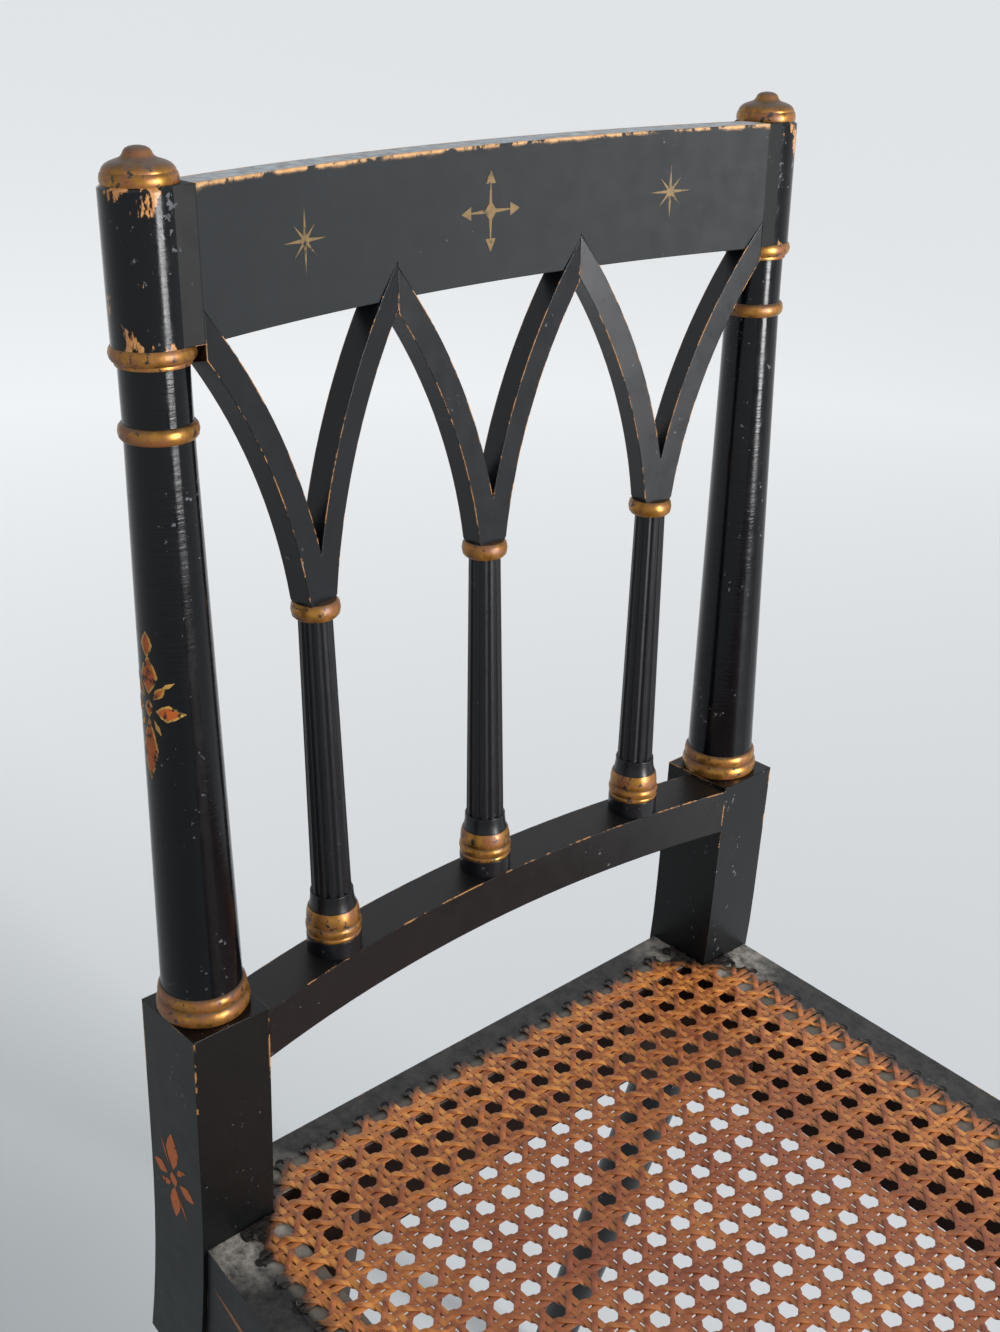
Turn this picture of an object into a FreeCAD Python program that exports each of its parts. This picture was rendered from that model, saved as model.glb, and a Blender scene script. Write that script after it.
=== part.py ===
import FreeCAD, Part
import math
import os

# Caned window seat with two raised Gothic ends, in millimetres.
# X runs along the seat, Y from front to back, Z up from the floor.
# The origin is on the floor under the middle of the seat.

V = FreeCAD.Vector
os.makedirs("parts", exist_ok=True)

# Overall sizes
seat_height = 440.0
clear_length = 900.0
end_depth = 370.0
front_bow = 21.0
joint_gap = 0.15
glue_gap = 0.3
scribe_gap = 0.8

# Posts: a square block at the seat, a turned column above and a turned leg below
block_wide = 37.5
block_deep = 41.0
block_rise = 117.0
block_drop = 88.0
knee_height = 35.0
knee_radius = 660.0
post_rake = 2.75
leg_rake = 13.8
column_inset = 21.5
leg_top_radius = 17.0
leg_foot_radius = 13.5
column_foot_radius = 17.3
column_neck_radius = 13.0
drum_radius = 14.7
base_ring_radius = 19.6
second_ring_height = 252.6
second_ring_radius = 14.6
crest_ring_radius = 15.6
ring_half = 2.8
base_ring_tall = 7.0
base_bead_tall = 6.0
base_quirk = 2.5
drum_drop = 1.5
cap_slope = 8.5
button_radius = 5.0
button_tall = 4.0
foot_tall = 12.0
long_taper = 100.0
spigot = 6.0

# Crest rail between the drums, hollowed towards the sitter
crest_low = 284.0
crest_tall = 55.5
crest_thick = 15.0
crest_hollow = 20.0
crest_front = 14.0
shoulder_reach = 13.5
crest_tenon_thick = 7.0
crest_tenon_tall = 34.0
crest_tenon_long = 11.0

# Cross rail that carries the balusters
cross_tall = 25.0
cross_deep = 24.0
cross_hollow = 16.0
cross_step = 1.0
cross_tenon_thick = 10.0
cross_tenon_tall = 15.0
cross_tenon_long = 16.0

# Balusters: plinth, two rounds, reeded shaft, collar and fork
baluster_count = 3
plinth_spread = 97.0
plinth_radius = 12.5
plinth_tall = 7.0
low_round_radius = 11.7
low_round_tall = 6.0
high_round_radius = 10.8
high_round_tall = 8.0
neck_radius = 9.6
shaft_low = 29.0
shaft_low_radius = 9.0
shaft_top_radius = 7.2
reed_count = 12
reed_depth = 0.09
collar_height = 165.0
collar_radius = 9.6
collar_half = 2.5
fork_thick = 11.5
stem_half = 5.5
stem_stop_radius = 7.9
rib_wide = 11.0
arch_radius = 244.0
crotch_height = 189.0
pin_wide = 9.0
pin_long = 14.0
lap_deep = 6.5

# Seat frame
rail_tall = 62.0
long_rail_wide = 38.0
end_rail_wide = 31.0
end_rail_inset = 8.0
rail_reveal = 2.0
rail_tenon_thick = 10.0
rail_tenon_long = 20.0
rail_tenon_lift = 6.0
end_tenon_thick = 10.0
end_tenon_long = 12.0
end_tenon_set = 5.0
seat_tenon_tall = 36.0
corner_leg = 52.0
corner_tall = 40.0
corner_drop = 18.0
brace_wide = 45.0
brace_thick = 16.0
brace_drop = 16.0
brace_dip = 20.0
brace_tenon_wide = 30.0
brace_tenon_thick = 9.0
brace_tenon_long = 8.0

# Cane panel
cane_thick = 2.4
cane_margin_long = 16.0
cane_margin_end = 14.0
cane_hole_pitch = 15.875
cane_clear = 1.5
gap_cells = 3
gap_size = 35.0
gap_edge = 5.0

# Derived places
half_clear = clear_length / 2
half_depth = end_depth / 2
block_top = block_rise + block_deep * math.tan(math.radians(post_rake))
post_y = half_depth - block_wide / 2
end_y = (half_depth - rail_reveal + front_bow - post_y - base_ring_radius) / 2
block_gap = half_depth - block_wide
crest_half = post_y - shoulder_reach
half_span = crest_half / baluster_count
front_edge_y = end_y - half_depth + rail_reveal
back_edge_y = end_y + half_depth - rail_reveal
bow_radius = (half_clear ** 2 + front_bow ** 2) / (2 * front_bow)
bow_centre_y = front_edge_y - front_bow + bow_radius
wide = 2000.0


def box(x0, x1, y0, y1, z0, z1):
    return Part.makeBox(x1 - x0, y1 - y0, z1 - z0, V(x0, y0, z0))


def prism(points, axis_vector):
    wire = Part.makePolygon(points + [points[0]])
    return Part.Face(wire).extrude(axis_vector)


def turned(edges):
    # Close a half outline on the axis and spin it into a solid.
    first = edges[0].Vertexes[0].Point
    last = edges[-1].Vertexes[-1].Point
    if first.x > 1e-6:
        edges.insert(0, Part.makeLine(V(0, 0, first.z), first))
    if last.x > 1e-6:
        edges.append(Part.makeLine(last, V(0, 0, last.z)))
    edges.append(Part.makeLine(V(0, 0, edges[-1].Vertexes[-1].Point.z), V(0, 0, first.z)))
    face = Part.Face(Part.Wire(edges))
    return face.revolve(V(0, 0, 0), V(0, 0, 1), 360)


def outline(steps):
    # Each step is (radius, height); a third value is a ring's radius half way up the run.
    points = [V(steps[0][0], 0, steps[0][1])]
    for step in steps[1:]:
        if len(step) == 3:
            points.append(V(step[2], 0, (points[-1].z + step[1]) / 2))
        points.append(V(step[0], 0, step[1]))
    return [run(a, b) for a, b in zip(points, points[1:])]


def run(a, b):
    # A straight run of a turned outline; a long taper is one smooth band.
    if a.distanceToPoint(b) < long_taper or a.x == b.x:
        return Part.makeLine(a, b)
    curve = Part.BezierCurve()
    curve.setPoles([a, b])
    return curve.toShape()


def lean_end(shape):
    # Tip the upright end outwards about the top of the post blocks.
    shape.rotate(V(0, 0, 0), V(0, 1, 0), -post_rake)
    shape.translate(V(-column_inset, 0, seat_height + block_rise))
    return shape


def curved_bar(front_x, hollow, half, skip, thick, z0, z1):
    # A bar hollowed towards +X, or a slice of it that starts a distance behind its face.
    radius = (half ** 2 + hollow ** 2) / (2 * hollow)
    centre = V(front_x - hollow + radius, 0, z0)
    up = V(0, 0, z1 - z0)
    disc_in = Part.Face(Part.Wire(Part.makeCircle(radius + skip, centre)))
    disc_out = Part.Face(Part.Wire(Part.makeCircle(radius + skip + thick, centre)))
    ring = disc_out.cut(disc_in).extrude(up)
    return ring.common(box(-wide, front_x - skip + thick, -half, half, z0, z1))


def crest_front_x(y):
    radius = (crest_half ** 2 + crest_hollow ** 2) / (2 * crest_hollow)
    return crest_front - crest_hollow + radius - math.sqrt(radius ** 2 - y ** 2)


def knee_profile(shift):
    # The line of the block's inner face: upright above the knee, then swept outwards.
    top = V(shift, 0, block_top)
    knee = V(shift, 0, knee_height)
    low = -block_drop - 30
    mid = (knee_height + low) / 2

    def swept(z):
        return shift - knee_radius + math.sqrt(knee_radius ** 2 - (z - knee_height) ** 2)

    arc = Part.Arc(knee, V(swept(mid), 0, mid), V(swept(low), 0, low)).toShape()
    return [Part.makeLine(top, knee), arc], V(swept(low), 0, low)


def block_solid():
    inner, inner_end = knee_profile(0)
    outer, outer_end = knee_profile(-block_deep)
    edges = inner + outer
    edges.append(Part.makeLine(V(0, 0, block_top), V(-block_deep, 0, block_top)))
    edges.append(Part.makeLine(inner_end, outer_end))
    face = Part.Face(Part.Wire(Part.__sortEdges__(edges)))
    solid = face.extrude(V(0, block_wide, 0))
    solid.translate(V(0, -block_wide / 2, seat_height))
    # Slope the top square to the column and the bottom square to the leg.
    top_cut = box(-wide, wide, -wide, wide, 0, wide)
    lean_end(top_cut)
    low_cut = box(-wide, wide, -wide, wide, -wide, 0)
    low_cut.rotate(V(0, 0, 0), V(0, 1, 0), leg_rake)
    low_cut.translate(leg_start())
    return solid.cut(top_cut).cut(low_cut)


def leg_start():
    drop = block_drop + 5
    sweep = knee_radius - math.sqrt(knee_radius ** 2 - (drop + knee_height) ** 2)
    return V(-block_deep / 2 - sweep, 0, seat_height - drop)


def knee_cutter():
    # Everything on the post's side of its inner face, for scribing the long rails.
    inner, inner_end = knee_profile(0)
    far = -block_deep * 3
    edges = inner
    edges.append(Part.makeLine(V(0, 0, block_top), V(far, 0, block_top)))
    edges.append(Part.makeLine(V(far, 0, block_top), V(far, 0, inner_end.z)))
    edges.append(Part.makeLine(V(far, 0, inner_end.z), inner_end))
    face = Part.Face(Part.Wire(Part.__sortEdges__(edges)))
    solid = face.extrude(V(0, wide, 0))
    solid.translate(V(-half_clear, -wide / 2, seat_height))
    return solid


def column_solid():
    ring_b = second_ring_height
    low = base_ring_radius
    drum_end = crest_low + crest_tall - drum_drop
    bead_top = base_ring_tall + base_bead_tall
    steps = [
        (column_neck_radius, -spigot),
        (column_neck_radius, 0.0),
        (low - base_quirk, 0.0),
        (low - base_quirk, base_ring_tall, low),
        (column_foot_radius, bead_top, low - 1.0),
        (column_neck_radius, ring_b - ring_half),
        (column_neck_radius, ring_b + ring_half, second_ring_radius),
        (column_neck_radius, crest_low - 2 * ring_half),
        (drum_radius, crest_low, crest_ring_radius),
        (drum_radius, drum_end),
        (button_radius, drum_end + cap_slope),
        (0.0, drum_end + cap_slope + button_tall),
    ]
    return turned(outline(steps))


def shoulder_solid():
    # The flat lug on the drum that meets the crest rail.
    back = crest_front - crest_thick
    return box(back, crest_front, 0, shoulder_reach, crest_low, crest_low + crest_tall)


def leg_solid():
    # It tapers to a short plain foot, which the floor cuts level.
    long = leg_start().z / math.cos(math.radians(leg_rake))
    steps = [
        (leg_foot_radius, spigot),
        (leg_foot_radius, 0.0),
        (leg_top_radius, 0.0),
        (leg_foot_radius, foot_tall - long),
        (leg_foot_radius, -foot_tall - long),
    ]
    leg = turned(outline(steps))
    leg.rotate(V(0, 0, 0), V(0, 1, 0), leg_rake)
    leg.translate(leg_start())
    return leg.cut(box(-wide, wide, -wide, wide, -wide, 0))


def tenon(thick, tall, long, grow):
    # A tenon along -Y from its shoulder, thick along X and tall along Z; a grown one is a mortise.
    shoulder = 1 if grow else 0
    return box(-thick / 2 - grow, thick / 2 + grow, -long - 2 * grow, shoulder,
               -tall / 2 - grow, tall / 2 + grow)


def place(shape, x, y, z):
    shape.translate(V(x, y, z))
    return shape


def crest_tenon_at(grow):
    # On the front-end of the crest, pointing to the front post.
    shape = tenon(crest_tenon_thick, crest_tenon_tall, crest_tenon_long, grow)
    middle = crest_low + crest_tall / 2
    return place(shape, crest_front - crest_thick / 2, -crest_half, middle)


def cross_tenon_at(grow):
    shape = tenon(cross_tenon_thick, cross_tenon_tall, cross_tenon_long, grow)
    z = seat_height + block_rise - cross_step - cross_tall / 2
    return place(shape, -cross_deep / 2, -block_gap, z)


def end_tenon_at(grow):
    shape = tenon(end_tenon_thick, seat_tenon_tall, end_tenon_long, grow)
    x = -end_rail_inset - end_rail_wide / 2 - end_tenon_set
    return place(shape, x, -block_gap, seat_height - rail_tall / 2)


def rail_tenon_at(grow):
    # On the left end of the front rail, pointing to the front post.
    shape = tenon(rail_tenon_thick, seat_tenon_tall, rail_tenon_long, grow)
    shape = shape.fuse(place(shape.copy(), 0, rail_tenon_thick, 0))
    shape.rotate(V(0, 0, 0), V(0, 0, 1), -90)
    return place(shape, 0, -post_y, seat_height - rail_tall / 2 + rail_tenon_lift)


def post_solid():
    # The front post of the left end, standing at the end's own middle plane.
    post = place(block_solid(), 0, -post_y, 0)
    post = post.fuse(place(leg_solid(), 0, -post_y, 0))
    upper = column_solid().fuse(shoulder_solid())
    upper = place(upper, 0, -post_y, 0)
    # The drum is flattened where the crest's end stands against it.
    upper = upper.cut(crest_bar(-joint_gap, crest_thick + 2 * joint_gap, joint_gap))
    upper = upper.cut(crest_tenon_at(joint_gap))
    post = post.fuse(lean_end(upper))
    for cutter in (cross_tenon_at(joint_gap), end_tenon_at(joint_gap), rail_tenon_at(joint_gap)):
        post = post.cut(cutter)
    return post.removeSplitter()


def fork_face(grow):
    # One half of the fork, between the two arcs of a rib, cut short at the apex.
    centre_u = stem_half + arch_radius
    inner_r = arch_radius - grow
    outer_r = arch_radius + rib_wide + grow
    spring = crotch_height - math.sqrt((arch_radius + rib_wide) ** 2 - centre_u ** 2)
    reach = half_span + 6

    def on_arc(radius, u):
        return V(0, u, spring + math.sqrt(radius ** 2 - (centre_u - u) ** 2))

    def by_height(radius, v):
        return V(0, centre_u - math.sqrt(radius ** 2 - (v - spring) ** 2), v)

    base = collar_height + collar_half - 1
    a = by_height(inner_r, base)
    b = on_arc(inner_r, reach)
    c = on_arc(outer_r, reach)
    d = on_arc(outer_r, 0)
    mid_in = by_height(inner_r, (a.z + b.z) / 2)
    mid_out = by_height(outer_r, (c.z + d.z) / 2)
    foot = V(0, 0, base)
    edges = [
        Part.makeLine(foot, a),
        Part.Arc(a, mid_in, b).toShape(),
        Part.makeLine(b, c),
        Part.Arc(c, mid_out, d).toShape(),
        Part.makeLine(d, foot),
    ]
    return Part.Face(Part.Wire(edges))


def fork_solid(grow):
    # Both ribs, centred on the baluster's axis; a grown fork is a cutter open to the front.
    front = fork_thick / 2 + (30 if grow else 0)
    half = fork_face(grow).extrude(V(front + fork_thick / 2, 0, 0))
    half.translate(V(-fork_thick / 2, 0, 0))
    other = half.mirror(V(0, 0, 0), V(0, 1, 0))
    fork = half.fuse(other).removeSplitter()
    if grow:
        return fork
    # Take the corners off the stem where it grows out of the round collar.
    base = V(0, 0, collar_height + collar_half - 1)
    stop = Part.makeCone(stem_stop_radius, stem_stop_radius + 99, 180, base)
    return fork.common(stop)


def reeded_wire(radius, z):
    # Each reed is three flats between two valleys.
    points = []
    step = 2 * math.pi / reed_count
    for i in range(reed_count):
        for share, r in ((0, radius * (1 - reed_depth)), (0.3, radius), (0.7, radius)):
            angle = (i + share) * step
            points.append(V(r * math.cos(angle), r * math.sin(angle), z))
    return Part.makePolygon(points + [points[0]])


def turned_foot():
    low_top = plinth_tall + low_round_tall
    high_top = low_top + high_round_tall
    steps = [
        (plinth_radius, -spigot),
        (plinth_radius, plinth_tall),
        (low_round_radius, plinth_tall),
        (low_round_radius, low_top),
        (high_round_radius, low_top),
        (high_round_radius, high_top),
        (neck_radius, high_top),
        (neck_radius, shaft_low),
    ]
    return turned(outline(steps))


def collar():
    low = collar_height - collar_half
    return Part.makeCylinder(collar_radius, 2 * collar_half, V(0, 0, low))


def baluster_axis(index):
    # The foot and the fork's place, in the frame of the leaning end.
    side = index - (baluster_count - 1) / 2
    y0 = (2 * side - 1) * half_span
    y1 = (2 * side + 1) * half_span
    x0 = crest_front_x(y0)
    x1 = crest_front_x(y1)
    yaw = math.atan2(x1 - x0, y1 - y0)
    back = fork_thick / 2
    top_x = (x0 + x1) / 2 - back * math.cos(yaw)
    top_y = (y0 + y1) / 2 + back * math.sin(yaw)
    radius = (block_gap ** 2 + cross_hollow ** 2) / (2 * cross_hollow)
    foot_y = side * plinth_spread
    front = radius - cross_hollow - math.sqrt(radius ** 2 - foot_y ** 2)
    foot_x = column_inset + front - cross_deep / 2
    return V(foot_x, foot_y, 0), V(top_x, top_y, crest_low), yaw, (y0, y1)


def stand(shape, foot, top, yaw):
    # Turn a baluster to face the sitter, then tilt it to reach the crest.
    shape.rotate(V(0, 0, 0), V(0, 0, 1), -math.degrees(yaw))
    run = top.sub(foot)
    shape.rotate(V(0, 0, 0), V(1, 0, 0), -math.degrees(math.atan2(run.y, run.z)))
    shape.rotate(V(0, 0, 0), V(0, 1, 0), math.degrees(math.atan2(run.x, run.z)))
    shape.translate(foot)
    return shape


def pin_at(index, grow):
    foot, top, yaw, limits = baluster_axis(index)
    half = pin_wide / 2 + grow
    pin = box(-half, half, -half, half, -pin_long - grow, spigot)
    return lean_end(stand(pin, foot, top, yaw))


def cross_top_cutter():
    top = seat_height + block_rise - cross_step
    return box(-wide, wide, -wide, wide, -wide, top)


def baluster_solid(index):
    foot, top, yaw, limits = baluster_axis(index)
    shaft = Part.makeLoft([
        reeded_wire(shaft_low_radius, shaft_low - 2),
        reeded_wire(shaft_top_radius, collar_height),
    ], True, True)
    body = turned_foot().fuse(shaft).fuse(collar()).fuse(fork_solid(0))
    stand(body, foot, top, yaw)
    gap = joint_gap / 2
    body = body.common(box(-wide, wide, limits[0] + gap, limits[1] - gap, -50, wide))
    # Halve the rib tips where they lap over the crest's face.
    body = body.cut(crest_bar(lap_deep - joint_gap, 60, joint_gap))
    body = lean_end(body)
    body = body.cut(cross_top_cutter())
    return body.fuse(pin_at(index, 0)).removeSplitter()


def crest_bar(skip, thick, grow):
    top = crest_low + crest_tall + grow
    return curved_bar(crest_front, crest_hollow, crest_half, skip, thick, crest_low - grow, top)


def crest_solid():
    crest = crest_bar(0, crest_thick, 0)
    pocket_zone = crest_bar(-30, 30 + lap_deep, joint_gap)
    for index in range(baluster_count):
        foot, top, yaw, limits = baluster_axis(index)
        cutter = stand(fork_solid(joint_gap), foot, top, yaw)
        # Each pocket stops where the next fork begins, so the tips meet in a point.
        own_span = box(-wide, wide, limits[0], limits[1], 0, wide)
        crest = crest.cut(cutter.common(pocket_zone).common(own_span))
    front = crest_tenon_at(0)
    back = front.mirror(V(0, 0, 0), V(0, 1, 0))
    crest = crest.fuse(front).fuse(back).removeSplitter()
    return lean_end(crest)


def cross_solid():
    top = seat_height + block_rise - cross_step
    rail = curved_bar(0, cross_hollow, block_gap, 0, cross_deep, top - cross_tall, top)
    front = cross_tenon_at(0)
    rail = rail.fuse(front).fuse(front.mirror(V(0, 0, 0), V(0, 1, 0)))
    for index in range(baluster_count):
        rail = rail.cut(pin_at(index, joint_gap))
    return rail.removeSplitter()


def end_rail_solid():
    x1 = -end_rail_inset
    x0 = x1 - end_rail_wide
    rail = box(x0, x1, -block_gap, block_gap, seat_height - rail_tall, seat_height)
    front = end_tenon_at(0)
    return rail.fuse(front).fuse(front.mirror(V(0, 0, 0), V(0, 1, 0))).removeSplitter()


def bow_disc(inset, z0, z1):
    # The area behind the bowed front line, set in by a distance.
    centre = V(0, bow_centre_y, z0)
    disc = Part.Face(Part.Wire(Part.makeCircle(bow_radius - inset, centre)))
    return disc.extrude(V(0, 0, z1 - z0))


def front_rail_solid():
    z0 = seat_height - rail_tall
    bar = bow_disc(0, z0, seat_height).cut(bow_disc(long_rail_wide, z0, seat_height))
    bar = bar.common(box(-half_clear - 30, half_clear + 30, front_edge_y - 60, 0, z0, seat_height))
    return finish_long_rail(bar, False)


def back_rail_solid():
    z0 = seat_height - rail_tall
    y1 = back_edge_y
    bar = box(-half_clear - 30, half_clear + 30, y1 - long_rail_wide, y1, z0, seat_height)
    return finish_long_rail(bar, True)


def finish_long_rail(bar, at_back):
    knee = knee_cutter()
    bar = bar.cut(knee).cut(knee.mirror(V(0, 0, 0), V(1, 0, 0)))
    left = rail_tenon_at(0)
    if at_back:
        left = left.mirror(V(0, 0, 0), V(0, 1, 0))
    place(left, -half_clear, end_y, 0)
    bar = bar.fuse(left).fuse(left.mirror(V(0, 0, 0), V(1, 0, 0)))
    return bar.cut(brace_tenons(joint_gap)).removeSplitter()


def brace_tenons(grow):
    # Straight tenons on both ends of the brace; grown ones are the mortises in the long rails.
    half = brace_tenon_wide / 2 + grow
    middle = seat_height - brace_drop - brace_thick / 2
    z0 = middle - brace_tenon_thick / 2 - grow
    z1 = middle + brace_tenon_thick / 2 + grow
    front = front_edge_y - front_bow + long_rail_wide
    back = back_edge_y - long_rail_wide
    reach = brace_tenon_long + grow
    return box(-half, half, front - reach, back + reach, z0, z1)


def brace_solid():
    # A flat bar under the middle of the cane, dipped clear of its sag.
    y0 = front_edge_y - front_bow + long_rail_wide + glue_gap
    y1 = back_edge_y - long_rail_wide - glue_gap
    ym = (y0 + y1) / 2
    top = seat_height - brace_drop
    low = top - brace_thick
    edges = [
        Part.Arc(V(0, y0, top), V(0, ym, top - brace_dip), V(0, y1, top)).toShape(),
        Part.makeLine(V(0, y1, top), V(0, y1, low)),
        Part.Arc(V(0, y1, low), V(0, ym, low - brace_dip), V(0, y0, low)).toShape(),
        Part.makeLine(V(0, y0, low), V(0, y0, top)),
    ]
    bar = Part.Face(Part.Wire(edges)).extrude(V(brace_wide, 0, 0))
    place(bar, -brace_wide / 2, 0, 0)
    root = 2 * glue_gap
    middle = box(-wide, wide, y0 + root, y1 - root, 0, wide)
    return bar.fuse(brace_tenons(0).cut(middle)).removeSplitter()


def corner_solid(at_back):
    # A glue block in the left corner, scribed to both rails.
    x0 = -half_clear - end_rail_inset + glue_gap
    x1 = x0 + corner_leg
    z0 = seat_height - corner_drop - corner_tall
    y0 = front_edge_y + long_rail_wide + glue_gap
    y2 = y0 + corner_leg
    over = y0 - front_bow
    points = [V(x0, over, z0), V(x1, over, z0), V(x1, y0, z0), V(x0, y2, z0)]
    solid = prism(points, V(0, 0, corner_tall))
    side = end_y - block_gap + glue_gap
    post_zone = box(-half_clear - 60, -half_clear + glue_gap, side - 90, side, 0, wide)
    solid = solid.cut(post_zone)
    if at_back:
        solid = solid.common(box(-wide, wide, y0, wide, 0, wide))
        return place(solid.mirror(V(0, 0, 0), V(0, 1, 0)), 0, 2 * end_y, 0)
    return solid.common(bow_disc(long_rail_wide + scribe_gap, 0, seat_height))


def cane_solid():
    # The woven panel from hole line to hole line, notched round the posts.
    z0 = seat_height
    z1 = seat_height + cane_thick
    x_end = half_clear + end_rail_inset + end_rail_wide - cane_margin_end
    y_back = back_edge_y - cane_margin_long
    sheet = bow_disc(cane_margin_long, z0, z1)
    sheet = sheet.common(box(-x_end, x_end, -wide, y_back, z0, z1))
    for sx in (-1, 1):
        for sy in (-1, 1):
            xa = sx * (half_clear - cane_clear)
            xb = sx * (half_clear + 60)
            ya = end_y + sy * (block_gap - cane_clear)
            yb = end_y + sy * (half_depth + 60)
            notch = box(min(xa, xb), max(xa, xb), min(ya, yb), max(ya, yb), z0 - 1, z1 + 1)
            sheet = sheet.cut(notch)
    pitch = cane_hole_pitch * gap_cells
    open_x = half_clear + end_rail_inset - gap_size / 2 - gap_edge
    open_y = back_edge_y - long_rail_wide - gap_size / 2 - gap_edge
    low_y = front_edge_y - front_bow + long_rail_wide + gap_size / 2 + gap_edge
    count_x = int(open_x / pitch)
    rows = int((open_y - low_y) / pitch)
    holes = []
    for i in range(-count_x, count_x + 1):
        for j in range(rows + 1):
            x = i * pitch
            y = open_y - j * pitch
            bow_y = bow_centre_y - math.sqrt((bow_radius - long_rail_wide) ** 2 - x ** 2)
            if y - gap_size / 2 - gap_edge > bow_y:
                holes.append(cane_gap(x, y, z0 - 1))
    print("cane gaps in the panel:", len(holes))
    return sheet.cut(Part.makeCompound(holes))


def cane_gap(x, y, z):
    h = gap_size / 2
    return box(x - h, x + h, y - h, y + h, z, z + cane_thick + 2)


def save(name, shape):
    solids = shape.Solids
    assert len(solids) == 1, name + " has " + str(len(solids)) + " solids"
    solid = solids[0]
    if solid.Volume < 0:
        solid.reverse()
    assert solid.isValid(), name + " is not a sound solid"
    solid.exportStep("parts/" + name + ".step")
    return solid


def save_pair(name, shape):
    # One end is built, the other is its mirror image.
    left = save(name + "_left", shape)
    save(name + "_right", left.mirror(V(0, 0, 0), V(1, 0, 0)))
    return left


def to_left_end(shape):
    return place(shape, -half_clear, end_y, 0)


front_post = post_solid()
back_post = front_post.mirror(V(0, 0, 0), V(0, 1, 0))
save_pair("post_front", to_left_end(front_post))
save_pair("post_back", to_left_end(back_post))
save_pair("crest_rail", to_left_end(crest_solid()))
save_pair("cross_rail", to_left_end(cross_solid()))
for index, where in enumerate(("front", "middle", "back")):
    save_pair("baluster_" + where, to_left_end(baluster_solid(index)))
save_pair("seat_rail", to_left_end(end_rail_solid()))
save("seat_rail_front", front_rail_solid())
save("seat_rail_back", back_rail_solid())
save_pair("corner_block_front", corner_solid(False))
save_pair("corner_block_back", corner_solid(True))
save("seat_brace", brace_solid())
save("cane_panel", cane_solid())
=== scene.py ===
# %% [markdown]
# # A caned window seat with arcaded ends
# The real seat is beech, blacked to look like ebony, with worn gilding on its turned rings, small
# painted leaves, and a woven cane seat. The solids of the frame already have their true shapes, so
# they stay and get a finish. What is woven, gilded or painted is modelled here.

# %% Load the frame
import math

import bmesh
import bpy
from mathutils import Matrix, Vector


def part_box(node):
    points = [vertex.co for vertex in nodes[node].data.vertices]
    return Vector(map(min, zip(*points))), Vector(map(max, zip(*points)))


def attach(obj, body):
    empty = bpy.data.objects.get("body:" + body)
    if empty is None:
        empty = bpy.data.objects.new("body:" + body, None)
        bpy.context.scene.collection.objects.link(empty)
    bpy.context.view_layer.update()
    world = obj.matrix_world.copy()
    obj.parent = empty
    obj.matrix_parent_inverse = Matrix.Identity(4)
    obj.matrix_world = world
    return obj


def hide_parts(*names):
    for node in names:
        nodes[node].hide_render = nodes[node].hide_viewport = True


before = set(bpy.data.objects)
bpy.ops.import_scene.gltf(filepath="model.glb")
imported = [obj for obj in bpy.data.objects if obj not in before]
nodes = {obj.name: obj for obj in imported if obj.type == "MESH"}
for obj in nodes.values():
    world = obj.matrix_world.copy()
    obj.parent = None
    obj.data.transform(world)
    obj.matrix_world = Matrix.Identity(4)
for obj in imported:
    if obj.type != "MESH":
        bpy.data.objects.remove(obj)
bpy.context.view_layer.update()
MM = 0.001
print("solids:", len(nodes))

# %% [markdown]
# ## Places on the frame
# Each end leans outwards, so its rings and painted marks are easiest to give in a frame that leans
# with it: X points to the seat, Z runs up the posts and zero is the middle of the end on top of
# the blocks. The left end is placed by this frame and the right end is its mirror image.

# %% The leaning frame of an end
POST_RAKE = math.radians(2.75)
END_MIDDLE = Vector((-471.5, 9.075, 557.0)) * MM
POST_SPREAD, POST_TOP = 166.25, 351.0
lean = Matrix.Translation(END_MIDDLE) @ Matrix.Rotation(-POST_RAKE, 4, "Y")
SIDES = ("left", "right")


def on_end(side, x, y, z):
    """A point of the leaning frame, given in mm, as a point of the whole seat."""
    point = lean @ (Vector((x, y, z)) * MM)
    return point if side == "left" else Vector((-point.x, point.y, point.z))


print("top of the front left post:", on_end("left", 0, -POST_SPREAD, POST_TOP))

# %% [markdown]
# ## Camera
# The camera stands above the front rail and looks down at the left end. Its place, turn and lens
# come from lines of the frame that are easy to find again in the picture.

# %% Camera
CAMERA_PLACE = Vector((18.19, -451.7, 1001.6)) * MM
CAMERA_AZIMUTH, CAMERA_PITCH, CAMERA_ROLL = (math.radians(a) for a in (46.88, 26.42, 2.69))
CAMERA_LENS, CAMERA_SENSOR, CAMERA_NEAR = 44.13, 36.0, 0.01
bpy.ops.object.camera_add(location=CAMERA_PLACE)
camera = bpy.context.object
camera_turn = (Matrix.Rotation(CAMERA_AZIMUTH, 4, "Z")
               @ Matrix.Rotation(math.pi / 2 - CAMERA_PITCH, 4, "X")
               @ Matrix.Rotation(CAMERA_ROLL, 4, "Z"))
camera.rotation_euler = camera_turn.to_euler()
camera.data.sensor_width = CAMERA_SENSOR
camera.data.lens = CAMERA_LENS
camera.data.clip_start = CAMERA_NEAR
bpy.context.scene.camera = camera
print("camera at", tuple(round(c, 3) for c in camera.location))

# %% [markdown]
# ## Colours and nodes
# Colours are written as hex values, as a paint chart gives them, and turned to the linear values
# that the shader works in. One helper adds a node, sets it and links it, so that a finish reads as
# a list. A node given as an input stands for its first output.

# %% Helpers for finishes
def colour(code):
    """An sRGB hex colour as linear red, green, blue and alpha."""
    parts = [int(code[i:i + 2], 16) / 255 for i in (1, 3, 5)]
    linear = (p / 12.92 if p <= 0.04045 else ((p + 0.055) / 1.055) ** 2.4 for p in parts)
    return (*linear, 1.0)


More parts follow.
